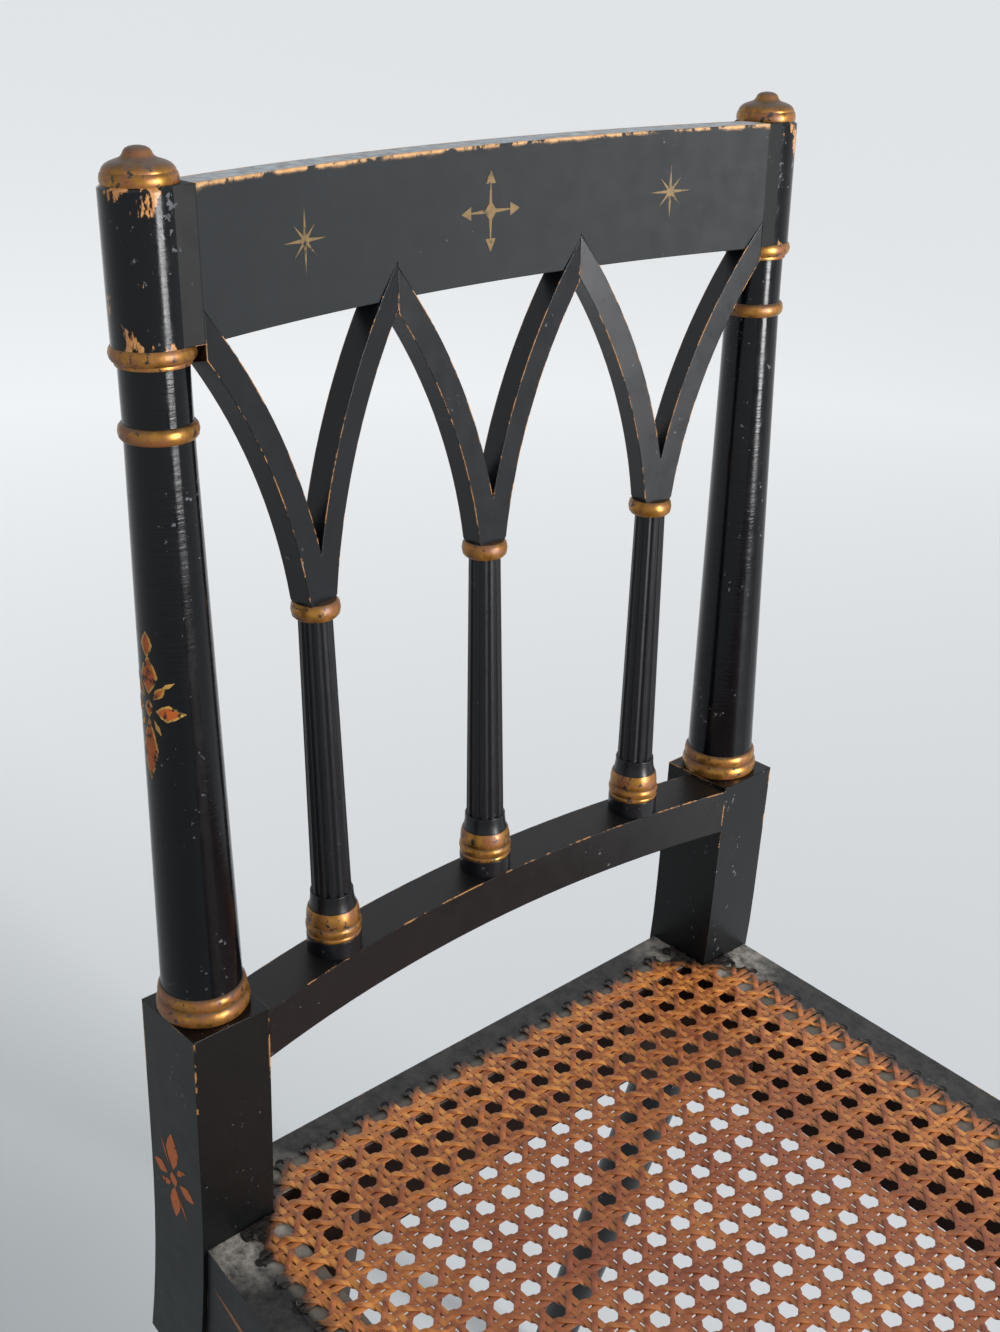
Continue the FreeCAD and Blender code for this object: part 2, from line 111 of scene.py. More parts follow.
def noise_of(place, size, detail, roughness=0.5):
    """The inputs of a noise that changes about every size mm."""
    return {"Vector": place, "Scale": 1.0 / (size * MM), "Detail": detail, "Roughness": roughness}


def set_inputs(node, inputs):
    """Set or link inputs of a node, by their names or, from a plain list, in their order."""
    for key, value in inputs.items() if isinstance(inputs, dict) else enumerate(inputs):
        if isinstance(value, bpy.types.Node):
            value = value.outputs[0]
        if isinstance(value, bpy.types.NodeSocket):
            node.id_data.links.new(value, node.inputs[key])
        else:
            node.inputs[key].default_value = value


def add_node(owner, kind, inputs=(), **settings):
    """Add a shader node to a material or a world, with its settings and inputs."""
    node = owner.node_tree.nodes.new("ShaderNode" + kind)
    for name, value in settings.items():
        setattr(node, name, value)
    set_inputs(node, inputs)
    return node


def new_finish(name):
    """A new material, its principled shader and the place of each point on its piece."""
    mat = bpy.data.materials.new(name)
    mat.use_nodes = True
    place = add_node(mat, "TexCoord").outputs["Object"]
    return mat, mat.node_tree.nodes["Principled BSDF"], place


print("mid grey in linear values:", colour("#808080"))

# %% [markdown]
# ## Tones and patches
# Old finishes are never one flat colour. Most of what is seen here comes from three simple things:
# a tone that drifts between two colours, ragged patches, and a colour laid over another where
# masks allow it. A mask is 1 where something shows and 0 where it doesn't.

# %% Tones and patches
def drifting(mat, place, size, detail, first, second):
    """Two hex colours that drift into each other about every size mm."""
    drift = add_node(mat, "TexNoise", noise_of(place, size, detail))
    return add_node(mat, "MixRGB", (drift, colour(first), colour(second)))


def patches(mat, place, size, detail, start, end, roughness=0.5, low=0.0, high=1.0):
    """Patches about size mm wide: low where a noise is under start, high where it is over end."""
    noise = add_node(mat, "TexNoise", noise_of(place, size, detail, roughness))
    return add_node(mat, "MapRange", {
        "Value": noise, "From Min": start, "From Max": end, "To Min": low, "To Max": high})


def ramp(mat, *steps):
    """The most of one or more ramps: a value, where it starts at 0 and where it reaches 1."""
    most = 0.0
    for value, start, end in steps:
        step = add_node(mat, "MapRange", {"Value": value, "From Min": start, "From Max": end})
        most = add_node(mat, "Math", (most, step), operation="MAXIMUM")
    return most


def lay_over(mat, surface, tone, masks):
    """A tone laid over a surface where all masks allow it."""
    cover = masks[0]
    for mask in masks[1:]:
        cover = add_node(mat, "Math", (cover, mask), operation="MULTIPLY")
    return add_node(mat, "MixRGB", (cover, surface, tone))


print("tones: drifting, patches, ramps, one over another")

# %% Masks by place
SEAT_MIDDLE = {"X": 0.0, "Y": END_MIDDLE.y}


def higher(mat, place, height):
    """1 above a height in metres."""
    up = add_node(mat, "SeparateXYZ", [place]).outputs["Z"]
    return add_node(mat, "Math", (up, height), operation="GREATER_THAN")


def from_middle(mat, place, axis):
    """How far a point lies from the middle of the seat along X or Y, in metres."""
    along = add_node(mat, "SeparateXYZ", [place]).outputs[axis]
    offset = add_node(mat, "Math", (along, SEAT_MIDDLE[axis]), operation="SUBTRACT")
    return add_node(mat, "Math", [offset], operation="ABSOLUTE")


def behind_bow(mat, place, curve, front):
    """How far a point lies behind the bowed line where Y is curve times X squared plus front."""
    parts = add_node(mat, "SeparateXYZ", [place]).outputs
    square = add_node(mat, "Math", (parts["X"], parts["X"]), operation="MULTIPLY")
    bow = add_node(mat, "Math", (square, curve, front), operation="MULTIPLY_ADD")
    return add_node(mat, "Math", (parts["Y"], bow), operation="SUBTRACT")


def faces_up(mat, start, end, normal=None):
    """How far a surface faces up: 0 where its normal rises by start, 1 where it rises by end."""
    if normal is None:
        normal = add_node(mat, "NewGeometry").outputs["Normal"]
    rise = add_node(mat, "SeparateXYZ", [normal]).outputs["Z"]
    return ramp(mat, (rise, start, end))


print("masks: height, distance from the middle, bow, facing up")

# %% [markdown]
# ## Ebonised beech
# Beech is stained black and varnished to look like ebony. Flat faces shine softly and look
# charcoal in a light room, the turned columns are glossier and look deeper black. Handling has
# rubbed some arrises to the wood and left small pale chips. Each kind of wear is its own small
# function, so a finish is put together from the wear that its pieces show.

# %% Wear on the arrises and chips
PATCH_SIZE, PATCH_GAIN, PATCH_LEVEL, SHARE_LEVEL = 14, 5.0, -2.55, 0.9
EDGE_LEAST, BARE_FROM, BARE_TO = 0.06, 0.6, 0.72
CHIP_SIZE, CHIP_SPREAD, CHIP_FROM, CHIP_TO = 3.2, 30, 1.08, 1.12
SHARE_CHIPS, HANDLED_CHIPS = 0.2, 0.055


def rubbed_arrises(mat, place, radius, share, tops_only=False, above=0.0, below=1.0):
    """How far an arris is rubbed. It lies where a rounded normal leaves the true one."""
    true_normal = add_node(mat, "NewGeometry").outputs["Normal"]
    rounded = add_node(mat, "Bevel", {"Radius": radius * MM}, samples=8)
    same = add_node(mat, "VectorMath", (rounded, true_normal), operation="DOT_PRODUCT")
    edge = ramp(mat, (same.outputs["Value"], 1.0, 0.9))
    # The stronger a ragged patch is, the further it reaches in from the edge.
    patch = add_node(mat, "TexNoise", noise_of(place, PATCH_SIZE, 8.0, 0.75))
    level = PATCH_LEVEL - SHARE_LEVEL * (1.0 - share)
    reach = add_node(mat, "Math", (patch, PATCH_GAIN, level), operation="MULTIPLY_ADD")
    strength = add_node(mat, "Math", (edge, reach), operation="ADD")
    rubbed = ramp(mat, (strength, BARE_FROM, BARE_TO))
    over, past = (higher(mat, place, height) for height in (above, below))
    masks = [add_node(mat, "Math", (edge, EDGE_LEAST), operation="GREATER_THAN"),
             add_node(mat, "Math", (over, past), operation="SUBTRACT")]
    if tops_only:
        masks.append(faces_up(mat, 0.1, 0.3, rounded))
    for mask in masks:
        rubbed = add_node(mat, "Math", (rubbed, mask), operation="MULTIPLY")
    return rubbed


def pale_chips(mat, place, share, handled):
    """Ragged chips of about a millimetre, gathered in places, more of them where handled is 1."""
    chip = add_node(mat, "TexNoise", noise_of(place, CHIP_SIZE, 3.0, 0.6))
    where = add_node(mat, "TexNoise", noise_of(place, CHIP_SPREAD, 3.0))
    gathered = add_node(mat, "Math", (where, 0.5, chip), operation="MULTIPLY_ADD")
    gathered = add_node(mat, "Math", (handled, HANDLED_CHIPS, gathered), operation="MULTIPLY_ADD")
    more = SHARE_CHIPS * share
    return ramp(mat, (gathered, CHIP_FROM - more, CHIP_TO - more))


print("patches of", PATCH_SIZE, "mm, chips of a noise of", CHIP_SIZE, "mm")

# %% Wear of the posts
DRUM_FOOT, DRUM_HEAD = 0.841, 0.895
FOOT_WEAR, HEAD_WEAR, DRUM_EDGE = 0.014, 0.022, 0.002
FLAKE_SIZE, FLAKE_PUSH, FLAKE_FROM, FLAKE_TO = 7, 0.17, 0.66, 0.69
BARE_WOOD = ("#74441f", "#c8935a")
TURNED_FROM = 0.5575
LUG_FROM, LUG_ASIDE = 0.8415, 0.1617


def turned_part(mat, place):
    """1 on the turned part of a post, 0 on its square block and on the flat lug by the crest."""
    aside = from_middle(mat, place, "Y")
    inside = add_node(mat, "Math", (aside, LUG_ASIDE), operation="LESS_THAN")
    lug = add_node(mat, "Math", (inside, higher(mat, place, LUG_FROM)), operation="MULTIPLY")
    return add_node(mat, "Math", (higher(mat, place, TURNED_FROM), lug), operation="SUBTRACT")


def worn_drums(mat, place, surface):
    """Bare wood in patches at the foot and the head of each drum, where hands lift the seat."""
    up = add_node(mat, "SeparateXYZ", [place]).outputs["Z"]
    near = ramp(mat, (up, DRUM_FOOT + FOOT_WEAR, DRUM_FOOT),
                (up, DRUM_HEAD - HEAD_WEAR, DRUM_HEAD))
    flake = add_node(mat, "Mapping", {"Vector": place, "Scale": (1.0, 1.0, 0.45)})
    patch = add_node(mat, "TexNoise", noise_of(flake, FLAKE_SIZE, 4.0, 0.6))
    pushed = add_node(mat, "Math", (near, FLAKE_PUSH, patch), operation="MULTIPLY_ADD")
    bare = ramp(mat, (pushed, FLAKE_FROM, FLAKE_TO))
    on_drum = higher(mat, place, DRUM_FOOT - DRUM_EDGE)
    wood = drifting(mat, place, 3, 3.0, *BARE_WOOD)
    return lay_over(mat, surface, wood, (bare, on_drum, turned_part(mat, place)))


print("drums from", DRUM_FOOT, "to", DRUM_HEAD)

# %% Dust and stain of the rails
LEDGE_END, LEDGE_BACK, LEDGE_FRONT, LEDGE_BOW = 0.473, 0.174, -0.177, 0.104
LEDGE_FADE, FACES_IN = 0.003, -0.05
POST_CORNER, DUST_FROM, DUST_TO, DUST_VEIL = (0.456, 0.157, 0.0), 0.046, 0.012, 0.07


def dusty_top(mat, place, surface):
    """Pale dust on what faces straight up."""
    clumps = patches(mat, place, 5, 5.0, 0.3, 0.7, low=0.45, high=0.95)
    return lay_over(mat, surface, colour("#a9b0b4"), (clumps, faces_up(mat, 0.75, 0.97)))


def corner_dust(mat, place, surface):
    """A veil of dust on the rail tops, thick beside the posts, where a cloth doesn't reach."""
    corner = add_node(mat, "CombineXYZ", [from_middle(mat, place, axis) for axis in "XY"])
    away = add_node(mat, "VectorMath", (corner, POST_CORNER), operation="DISTANCE")
    near = add_node(mat, "MapRange", {
        "Value": away.outputs["Value"], "From Min": DUST_FROM, "From Max": DUST_TO,
        "To Min": DUST_VEIL})
    clumps = patches(mat, place, 8, 7.0, 0.34, 0.6, roughness=0.75)
    return lay_over(mat, surface, colour("#b5aea4"), (near, faces_up(mat, 0.7, 0.95), clumps))


def dusty_ledge(mat, place, surface):
    """Grey brown dust on the rails between the holes and the opening, where cane keeps it."""
    out = from_middle(mat, place, "X")
    back = add_node(mat, "SeparateXYZ", [place]).outputs["Y"]
    behind = behind_bow(mat, place, LEDGE_BOW, LEDGE_FRONT)
    clumps = patches(mat, place, 12, 4.0, 0.3, 0.7, low=0.6, high=0.9)
    inside = [ramp(mat, step) for step in (
        (out, LEDGE_END, LEDGE_END - LEDGE_FADE), (back, LEDGE_BACK, LEDGE_BACK - LEDGE_FADE),
        (behind, 0.0, LEDGE_FADE))]
    return lay_over(mat, surface, colour("#6b6358"), [clumps, faces_up(mat, 0.95, 0.951), *inside])


def inner_face(mat, place):
    """1 on the inner faces of the rails, which face the middle of the seat."""
    normal = add_node(mat, "NewGeometry").outputs["Normal"]
    faces_out = add_node(mat, "VectorMath", (normal, place), operation="MULTIPLY")
    parts = add_node(mat, "SeparateXYZ", [faces_out]).outputs
    summed = add_node(mat, "Math", (parts["X"], parts["Y"]), operation="ADD")
    return add_node(mat, "Math", (summed, FACES_IN), operation="LESS_THAN")


def stain_and_painted_shade_inside(mat, place, surface):
    """The inner faces of the rails were only stained and stay brown. So dark a brown is also
    painted shade, for the shade that falls under the cane.
    """
    # Stain brown, darkened as painted shade under the cane.
    return lay_over(mat, surface, colour("#24120b"), [inner_face(mat, place)])


print("dust within", DUST_FROM, "m of the posts")

# %% Varnish
DULL_FROM, DULL_TO, LUG_DULL = 0.7, 0.8, 0.26
PIT_SIZE, SOFT_ARRIS, RING_STEP = 2.2, 0.7, 1.3


def varnish(mat, place, roughness, is_turned, shine):
    """The roughness of the varnish. On a post only the turned part has the high gloss."""
    gloss = patches(mat, place, 9, 4.0, 0.3, 0.7, low=roughness - 0.03, high=roughness + 0.04)
    if is_turned is None:
        return gloss
    # The lugs beside the crest are as dull as the crest.
    up = add_node(mat, "SeparateXYZ", [place]).outputs["Z"]
    dull = add_node(mat, "MapRange", {
        "Value": up, "From Min": DULL_FROM, "From Max": DULL_TO, "To Max": LUG_DULL})
    gloss = add_node(mat, "Math", (gloss, dull), operation="ADD")
    high_gloss = patches(mat, place, 9, 4.0, 0.3, 0.7, low=shine - 0.04, high=shine + 0.08)
    return lay_over(mat, gloss, high_gloss, [is_turned])


def varnish_marks(mat, place, is_turned):
    """Brush marks and pits about 2 mm apart, which break the highlights, and soft arrises."""
    pits = add_node(mat, "TexNoise", noise_of(place, PIT_SIZE, 4.0))
    soft_edge = add_node(mat, "Bevel", {"Radius": SOFT_ARRIS * MM}, samples=6)
    marks = add_node(mat, "Bump", {
        "Strength": 0.3, "Distance": 0.1 * MM, "Height": pits, "Normal": soft_edge})
    if is_turned is None:
        return marks
    # The turner's tool leaves fine rings about a millimetre apart, which draw highlights upright.
    drawn = add_node(mat, "Mapping", {"Vector": place, "Scale": (0.12, 0.12, 1.0)})
    rings = add_node(mat, "TexNoise", noise_of(drawn, RING_STEP, 3.0))
    ring_marks = add_node(mat, "Math", (rings, is_turned), operation="MULTIPLY")
    return add_node(mat, "Bump", {
        "Strength": 0.5, "Distance": 0.18 * MM, "Height": ring_marks, "Normal": marks})


print("arrises rounded by", SOFT_ARRIS, "mm")

# %% Ebonised beech
BARE_ROUGH, STAIN_ROUGH = 0.6, 0.95


def ebonised_beech(name, black, cast, roughness, specular, wear, chips, layers=(),
                   turned=(None, None), unvarnished=None, wood_tones=BARE_WOOD):
    """Black varnish over beech. wear sets the arrises, layers are the wear of single pieces,
    turned is the black and the roughness of the turned part of a post, and unvarnished says where
    there is no gloss."""
    mat, shader, place = new_finish(name)
    turned_black, shine = turned
    # A slow change under the black, as thin varnish gives.
    surface = drifting(mat, place, 40, 5.0, black, cast)
    is_turned, handled = None, 0.0
    if turned_black:
        is_turned = turned_part(mat, place)
        handled = add_node(mat, "Math", (higher(mat, place, DRUM_FOOT), is_turned),
                           operation="MULTIPLY")
        surface = lay_over(mat, surface, colour(turned_black), [is_turned])
    chipped = pale_chips(mat, place, chips, handled)
    surface = lay_over(mat, surface, colour("#4c4e52"), [chipped])
    for layer in layers:
        surface = layer(mat, place, surface)
    # Bare wood shows on the rubbed arrises, and what is bare has no gloss.
    rubbed = rubbed_arrises(mat, place, **wear)
    surface = lay_over(mat, surface, drifting(mat, place, 3, 3.0, *wood_tones), [rubbed])
    gloss = varnish(mat, place, roughness, is_turned, shine)
    gloss = lay_over(mat, gloss, (BARE_ROUGH,) * 3 + (1.0,), [rubbed])
    if unvarnished:
        gloss = lay_over(mat, gloss, (STAIN_ROUGH,) * 3 + (1.0,), [unvarnished(mat, place)])
    set_inputs(shader, {
        "Base Color": surface, "Roughness": gloss, "Normal": varnish_marks(mat, place, is_turned),
        "IOR": 1.5, "Specular IOR Level": specular})
    return mat


print("rubbed wood has a roughness of", BARE_ROUGH)

# %% The black finishes
blacks = {
    "post": ebonised_beech(
        "ebonised_beech_turned_post", "#070808", "#0d0e0f", 0.36, 0.23,
        {"radius": 1.8, "share": 0.75, "above": 0.52, "below": 0.5572}, 0.64, (worn_drums,),
        turned=("#06070a", 0.15)),
    "baluster": ebonised_beech(
        "ebonised_beech_reeded", "#090a0c", "#121317", 0.3, 0.27,
        {"radius": 1.1, "share": 0.6, "above": 0.728, "below": 0.843}, 0.45),
    "crest_rail": ebonised_beech(
        "ebonised_beech_crest", "#15181a", "#1b1e20", 0.64, 0.22,
        {"radius": 4.5, "share": 0.8, "tops_only": True}, 0.3, (dusty_top,),
        wood_tones=("#8a6038", "#cba272")),
    "cross_rail": ebonised_beech(
        "ebonised_beech_cross_rail", "#0a090b", "#121112", 0.36, 0.27,
        {"radius": 1.4, "share": 0.5, "tops_only": True}, 0.42),
    "seat_rail": ebonised_beech(
        "ebonised_beech_seat_rail", "#111315", "#1a1c1e", 0.5, 0.28,
        {"radius": 1.3, "share": 0.35}, 0.36, (stain_and_painted_shade_inside, dusty_ledge, corner_dust),
        unvarnished=inner_face),
}
print("black finishes:", ", ".join(finish.name for finish in blacks.values()))

# %% [markdown]
# ## Bare beech
# The brace and the glue blocks under the seat were never blacked. Beech has fine short flecks
# along the grain, and the unpolished wood here is given a dull dark brown.

# %% Bare beech
bare_beech, shader, place = new_finish("bare_beech_sawn")
along_grain = add_node(bare_beech, "Mapping", {"Vector": place, "Scale": (1.0, 0.12, 1.0)})
fleck = add_node(bare_beech, "TexNoise", noise_of(along_grain, 3, 5.0))
ground = drifting(bare_beech, along_grain, 14, 3.0, "#3a2415", "#573a24")
flecked = add_node(bare_beech, "MixRGB", (fleck, ground, colour("#2e1b10")),
                   blend_type="SOFT_LIGHT")
saw_marks = add_node(bare_beech, "Bump", {"Strength": 0.3, "Distance": 0.2 * MM, "Height": fleck})
set_inputs(shader, {"Base Color": flecked, "Normal": saw_marks, "Roughness": 0.68})
print("finish:", bare_beech.name)

# %% [markdown]
# ## Worn gilding
# The turned rings are covered with gold leaf over red bole. Gold is a metal and shines warm, but
# it has worn thin: the bole shows orange red through it, some chips go down to the black, and what
# faces up is darker.

# %% Worn gilding
gilding, shader, place = new_finish("gold_leaf_worn")
thin = add_node(gilding, "TexNoise", noise_of(place, 9, 5.0, 0.6))
bole = ramp(gilding, (thin, 0.44, 0.58))
lost = add_node(gilding, "TexNoise", noise_of(place, 3.5, 4.0, 0.6))
chips = ramp(gilding, (lost, 0.6, 0.64))
leaf = drifting(gilding, place, 3, 3.0, "#5c3c18", "#b5823a")
for code, masks in (("#70421f", [bole]), ("#1a1513", [chips]),
                    ("#3d3126", [faces_up(gilding, 0.35, 0.9), 0.8])):
    leaf = lay_over(gilding, leaf, colour(code), masks)
metal = add_node(gilding, "MapRange", {"Value": bole, "To Min": 0.8, "To Max": 0.2})
kept = add_node(gilding, "Math", (1.0, chips), operation="SUBTRACT")
leaf_metal = add_node(gilding, "Math", (metal, kept), operation="MULTIPLY")
rough = add_node(gilding, "MapRange", {
    "Value": thin, "From Min": 0.3, "From Max": 0.7, "To Min": 0.28, "To Max": 0.5})
flakes = add_node(gilding, "Bump", {"Strength": 0.5, "Distance": 0.15 * MM, "Height": lost})
set_inputs(shader, {
    "Base Color": leaf, "Metallic": leaf_metal, "Roughness": rough, "Normal": flakes})
print("finish:", gilding.name)

# %% [markdown]
# ## Paint
# The leaves are oil paint, brushed on thin in orange red, and the marks on the crest are bronze
# powder that has dulled. Both have rubbed through to the black, in spots a few millimetres wide.

# %% Oil paint and bronze powder
RUB_FROM, RUB_TO, RUB_SHARE = 0.7, 0.78, 0.25


def rubbed_paint(name, light, dark, roughness, metallic, rub):
    """Thin brushed paint that lets the black show where it has rubbed away."""
    mat, shader, place = new_finish(name)
    coat = drifting(mat, place, 2.5, 3.0, dark, light)
    more = RUB_SHARE * rub
    gone = patches(mat, place, 4, 5.0, RUB_FROM - more, RUB_TO - more, roughness=0.65)
    set_inputs(shader, {
        "Base Color": lay_over(mat, coat, colour("#1a1614"), [gone]), "Roughness": roughness,
        "Metallic": metallic, "Specular IOR Level": 0.25})
    return mat


leaf_paint = rubbed_paint("oil_paint_orange_red", "#b0581f", "#713010", 0.55, 0.0, 0.75)
line_paint = rubbed_paint("gold_size_line", "#b98f4a", "#86642f", 0.5, 0.2, 0.75)
bronze_paint = rubbed_paint("bronze_powder_dulled", "#755d39", "#4e412c", 0.55, 0.1, 0.65)
block_paint = rubbed_paint("oil_paint_orange", "#b8632e", "#93481f", 0.55, 0.0, 0.45)
stroke_paint = rubbed_paint("oil_paint_brown", "#8f5d35", "#6a3f22", 0.45, 0.0, 0.4)
print("paints:", [paint.name for paint in (leaf_paint, line_paint, bronze_paint, block_paint,
                                           stroke_paint)])

# %% [markdown]
# ## Finishes on the solids
# The solids keep their shapes and get the finish that suits how each was made. The name of a node
# starts with its kind, and each kind of black piece has its own finish.

# %% Dress the solids
for name, solid in nodes.items():
    finish = next((black for kind, black in blacks.items() if name.startswith(kind)), bare_beech)
    for material_slot in solid.material_slots:
        material_slot.material = finish
print("dressed:", ", ".join(sorted(nodes)))

# %% [markdown]
# ## Turned rings and caps
# A turner cuts rings with a rounded tool on a spinning post. Here a circle is drawn up through a
# list of radius and height, ring after ring, which is the same profile without a lathe. Each shape
# is made once on the Z axis and copied to its places along the leaning posts and balusters.

# %% A turned piece
TURNED_SMOOTH = math.radians(40)


def turned(name, profile, sides=48):
    """A closed turned shape on the Z axis from (radius, height) pairs in mm."""
    radius, height = profile[0]
    bpy.ops.mesh.primitive_circle_add(vertices=sides, radius=radius * MM, fill_type="NGON",
                                      location=(0, 0, height * MM))
    bpy.ops.object.transform_apply()
    shape = bpy.context.object
    shape.name = name
    bpy.ops.object.mode_set(mode="EDIT")
    bpy.ops.mesh.select_all(action="SELECT")
    for (wide, low), (next_wide, high) in zip(profile, profile[1:]):
        bpy.ops.mesh.extrude_region_move(
            TRANSFORM_OT_translate={"value": (0, 0, (high - low) * MM)})
        grow = next_wide / wide
        bpy.ops.transform.resize(value=(grow, grow, 1), center_override=(0, 0, high * MM))
    bpy.ops.mesh.select_all(action="SELECT")
    bpy.ops.mesh.normals_make_consistent()
    bpy.ops.object.mode_set(mode="OBJECT")
    bpy.ops.object.shade_smooth_by_angle(angle=TURNED_SMOOTH)
    return shape


print("turned pieces are smooth up to", round(math.degrees(TURNED_SMOOTH)), "degrees")

# %% Copies in place
def select_only(*pieces):
    """Select these pieces alone and make the first one active."""
    bpy.ops.object.select_all(action="DESELECT")
    for piece in pieces:
        piece.select_set(True)
    bpy.context.view_layer.objects.active = pieces[0]


def copy_to(shape, name, matrix, finish):
    """A copy of a finished shape with its own mesh, put in place and fixed to the seat."""
    select_only(shape)
    bpy.ops.object.duplicate()
    piece = bpy.context.object
    piece.name = name
    piece.matrix_world = matrix
    bpy.ops.object.transform_apply()
    piece.data.materials.clear()
    piece.data.materials.append(finish)
    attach(piece, "root")


def remove(shape):
    """Delete a pattern piece once its copies are in place."""
    select_only(shape)
    bpy.ops.object.delete()


def up_axis(foot, top):
    """A matrix that stands a shape on foot and points its Z axis at top."""
    turn = Vector((0, 0, 1)).rotation_difference(top - foot)
    return Matrix.Translation(foot) @ turn.to_matrix().to_4x4()


print("sides:", SIDES)

# %% Gilt rings and caps of the posts
POST_HIGH = 300.0
post_turnings = {
    "gilt_base_rings": [
        (17.0, 0.1), (18.9, 0.2), (19.6, 1.3), (19.95, 3.5), (19.6, 5.7), (18.7, 6.9), (18.2, 7.3),
        (18.6, 8.2), (18.95, 10.0), (18.6, 11.8), (17.9, 12.9), (17.0, 13.2)],
    "gilt_second_ring": [
        (12.6, 249.3), (13.7, 249.6), (14.6, 250.7), (14.95, 252.6), (14.6, 254.5), (13.7, 255.6),
        (12.6, 255.9)],
    "gilt_crest_ring": [
        (12.6, 276.7), (13.9, 276.9), (14.1, 277.6), (13.9, 278.2), (14.9, 278.6), (15.6, 279.7),
        (15.95, 281.3), (15.6, 282.9), (14.9, 284.0), (14.0, 284.2)],
    "gilt_cap": [
        (12.0, 338.6), (13.3, 338.9), (13.7, 340.0), (13.7, 341.4), (13.3, 342.9), (12.8, 343.4),
        (12.85, 343.8), (12.3, 344.8), (11.4, 345.7), (10.2, 346.4), (8.6, 347.0), (7.0, 347.5),
        (5.9, 348.1), (5.3, 348.9), (4.9, 349.8), (4.2, 350.7), (3.0, 351.3), (1.6, 351.6),
        (0.3, 351.7)],
}
for ring_name, profile in post_turnings.items():
    shape = turned("ring_pattern", profile)
    for side in SIDES:
        for row, y in (("front", -POST_SPREAD), ("back", POST_SPREAD)):
            matrix = up_axis(on_end(side, 0, y, 0), on_end(side, 0, y, POST_HIGH))
            copy_to(shape, f"{ring_name}_{row}_{side}", matrix, gilding)
    remove(shape)
print("post rings and caps:", len(post_turnings) * 4)

# %% [markdown]
# ## Gilt rounds of the balusters
# Each baluster stands on a black plinth. Above it are two gilt rounds, from which the black shaft
# rises in a short flare, and a gilt collar closes the reeds under the fork. The balusters lean
# with the end and spread towards the crest, so each has its own axis from the cross rail to the
# crest.

# %% Baluster axes
PLINTH_SPREAD, CREST_SPREAD, CREST_LOW = 97.0, 102.0, 284.0
BALUSTER_FEET = {
    "front": (0.37, -PLINTH_SPREAD), "middle": (-6.5, 0.0), "back": (0.37, PLINTH_SPREAD)}
BALUSTER_TOPS = {
    "front": (-0.5, -CREST_SPREAD), "middle": (-9.6, 0.0), "back": (-0.5, CREST_SPREAD)}


def baluster_matrix(side, row):
    """Stands a shape on the cross rail along one baluster's axis."""
    foot, top = BALUSTER_FEET[row], BALUSTER_TOPS[row]
    return up_axis(on_end(side, *foot, 0), on_end(side, *top, CREST_LOW))


print("middle baluster:", baluster_matrix("left", "middle").to_translation())

# %% Gilt rounds, flares and collars
baluster_turnings = {
    "gilt_rounds": [
        (11.0, 7.0), (12.2, 7.05), (12.45, 7.8), (12.3, 8.8), (12.0, 9.1), (12.5, 10.0),
        (12.75, 11.6), (12.5, 13.0), (12.0, 13.6), (11.7, 13.9), (12.0, 14.4), (12.1, 16.0),
        (11.9, 18.2), (11.5, 20.2), (11.0, 21.3), (9.0, 21.5)],
    "black_flare": [
        (9.0, 20.8), (10.7, 21.0), (10.4, 22.4), (10.0, 24.4), (9.8, 26.6), (9.7, 29.0),
        (8.4, 29.4)],
    "gilt_collar": [
        (7.0, 161.2), (9.0, 161.4), (10.0, 162.5), (10.45, 165.0), (10.0, 167.5), (9.0, 168.6),
        (7.0, 168.8)],
}
for ring_name, profile in baluster_turnings.items():
    shape = turned("round_pattern", profile, sides=36)
    finish = gilding if ring_name.startswith("gilt") else blacks["baluster"]
    for side in SIDES:
        for row in BALUSTER_FEET:
            copy_to(shape, f"{ring_name}_{row}_{side}", baluster_matrix(side, row), finish)
    remove(shape)
print("baluster rounds, flares and collars:", len(baluster_turnings) * 6)

# %% [markdown]
# ## Painted marks
# Each mark is a few brush strokes: pointed leaves, thin rays and arrowheads. A stroke is a circle
# pulled to shape, stood upright and laid on the wood by a Shrinkwrap modifier that projects it
# straight onto the solid, so it bends round a column as paint does. The leaves on a column are
# gold with a red middle.

# %% Strokes
STROKE_POINTS = {"leaf": 8, "ray": 4, "arrow": 3}
LEAF_PINCH, LEAF_SHOULDER = (0.72, 0.92, 1), (300, 400)


def pick(piece, test):
    """In edit mode, select the points whose place in mm passes the test."""
    mesh = bmesh.from_edit_mesh(piece.data)
    for point in mesh.verts:
        point.select = test(point.co / MM)
    mesh.select_flush(True)
    bmesh.update_edit_mesh(piece.data)


def join(pieces, name):
    """Join pieces into one."""
    select_only(*pieces)
    bpy.ops.object.join()
    pieces[0].name = name
    return pieces[0]


def stroke(kind, along, up, length, wide, turn, grow):
    """One flat stroke in the XZ plane that faces -Y. Sizes are in mm and the turn in degrees."""
    bpy.ops.mesh.primitive_circle_add(vertices=STROKE_POINTS[kind], radius=0.5, fill_type="TRIFAN")
    piece = bpy.context.object
    bpy.ops.object.mode_set(mode="EDIT")
    bpy.ops.mesh.select_mode(type="VERT")
    if kind == "leaf":
        # The points between the tips and the sides are pulled in, which gives pointed tips.
        low, high = LEAF_SHOULDER
        pick(piece, lambda place: low < abs(place.x) < high)
        bpy.ops.transform.resize(value=LEAF_PINCH, center_override=(0, 0, 0))
    bpy.ops.mesh.select_all(action="SELECT")
    bpy.ops.mesh.subdivide(number_cuts=2)
    bpy.ops.object.mode_set(mode="OBJECT")
    stand = Matrix.Rotation(math.pi / 2, 4, "X") @ Matrix.Rotation(math.radians(turn), 4, "Z")
    size = Matrix.Diagonal(((length + grow) * MM, (wide + grow) * MM, 1, 1))
    piece.matrix_world = Matrix.Translation(Vector((along, 0, up)) * MM) @ stand @ size
    bpy.ops.object.transform_apply()
    return piece


print("strokes:", ", ".join(STROKE_POINTS))

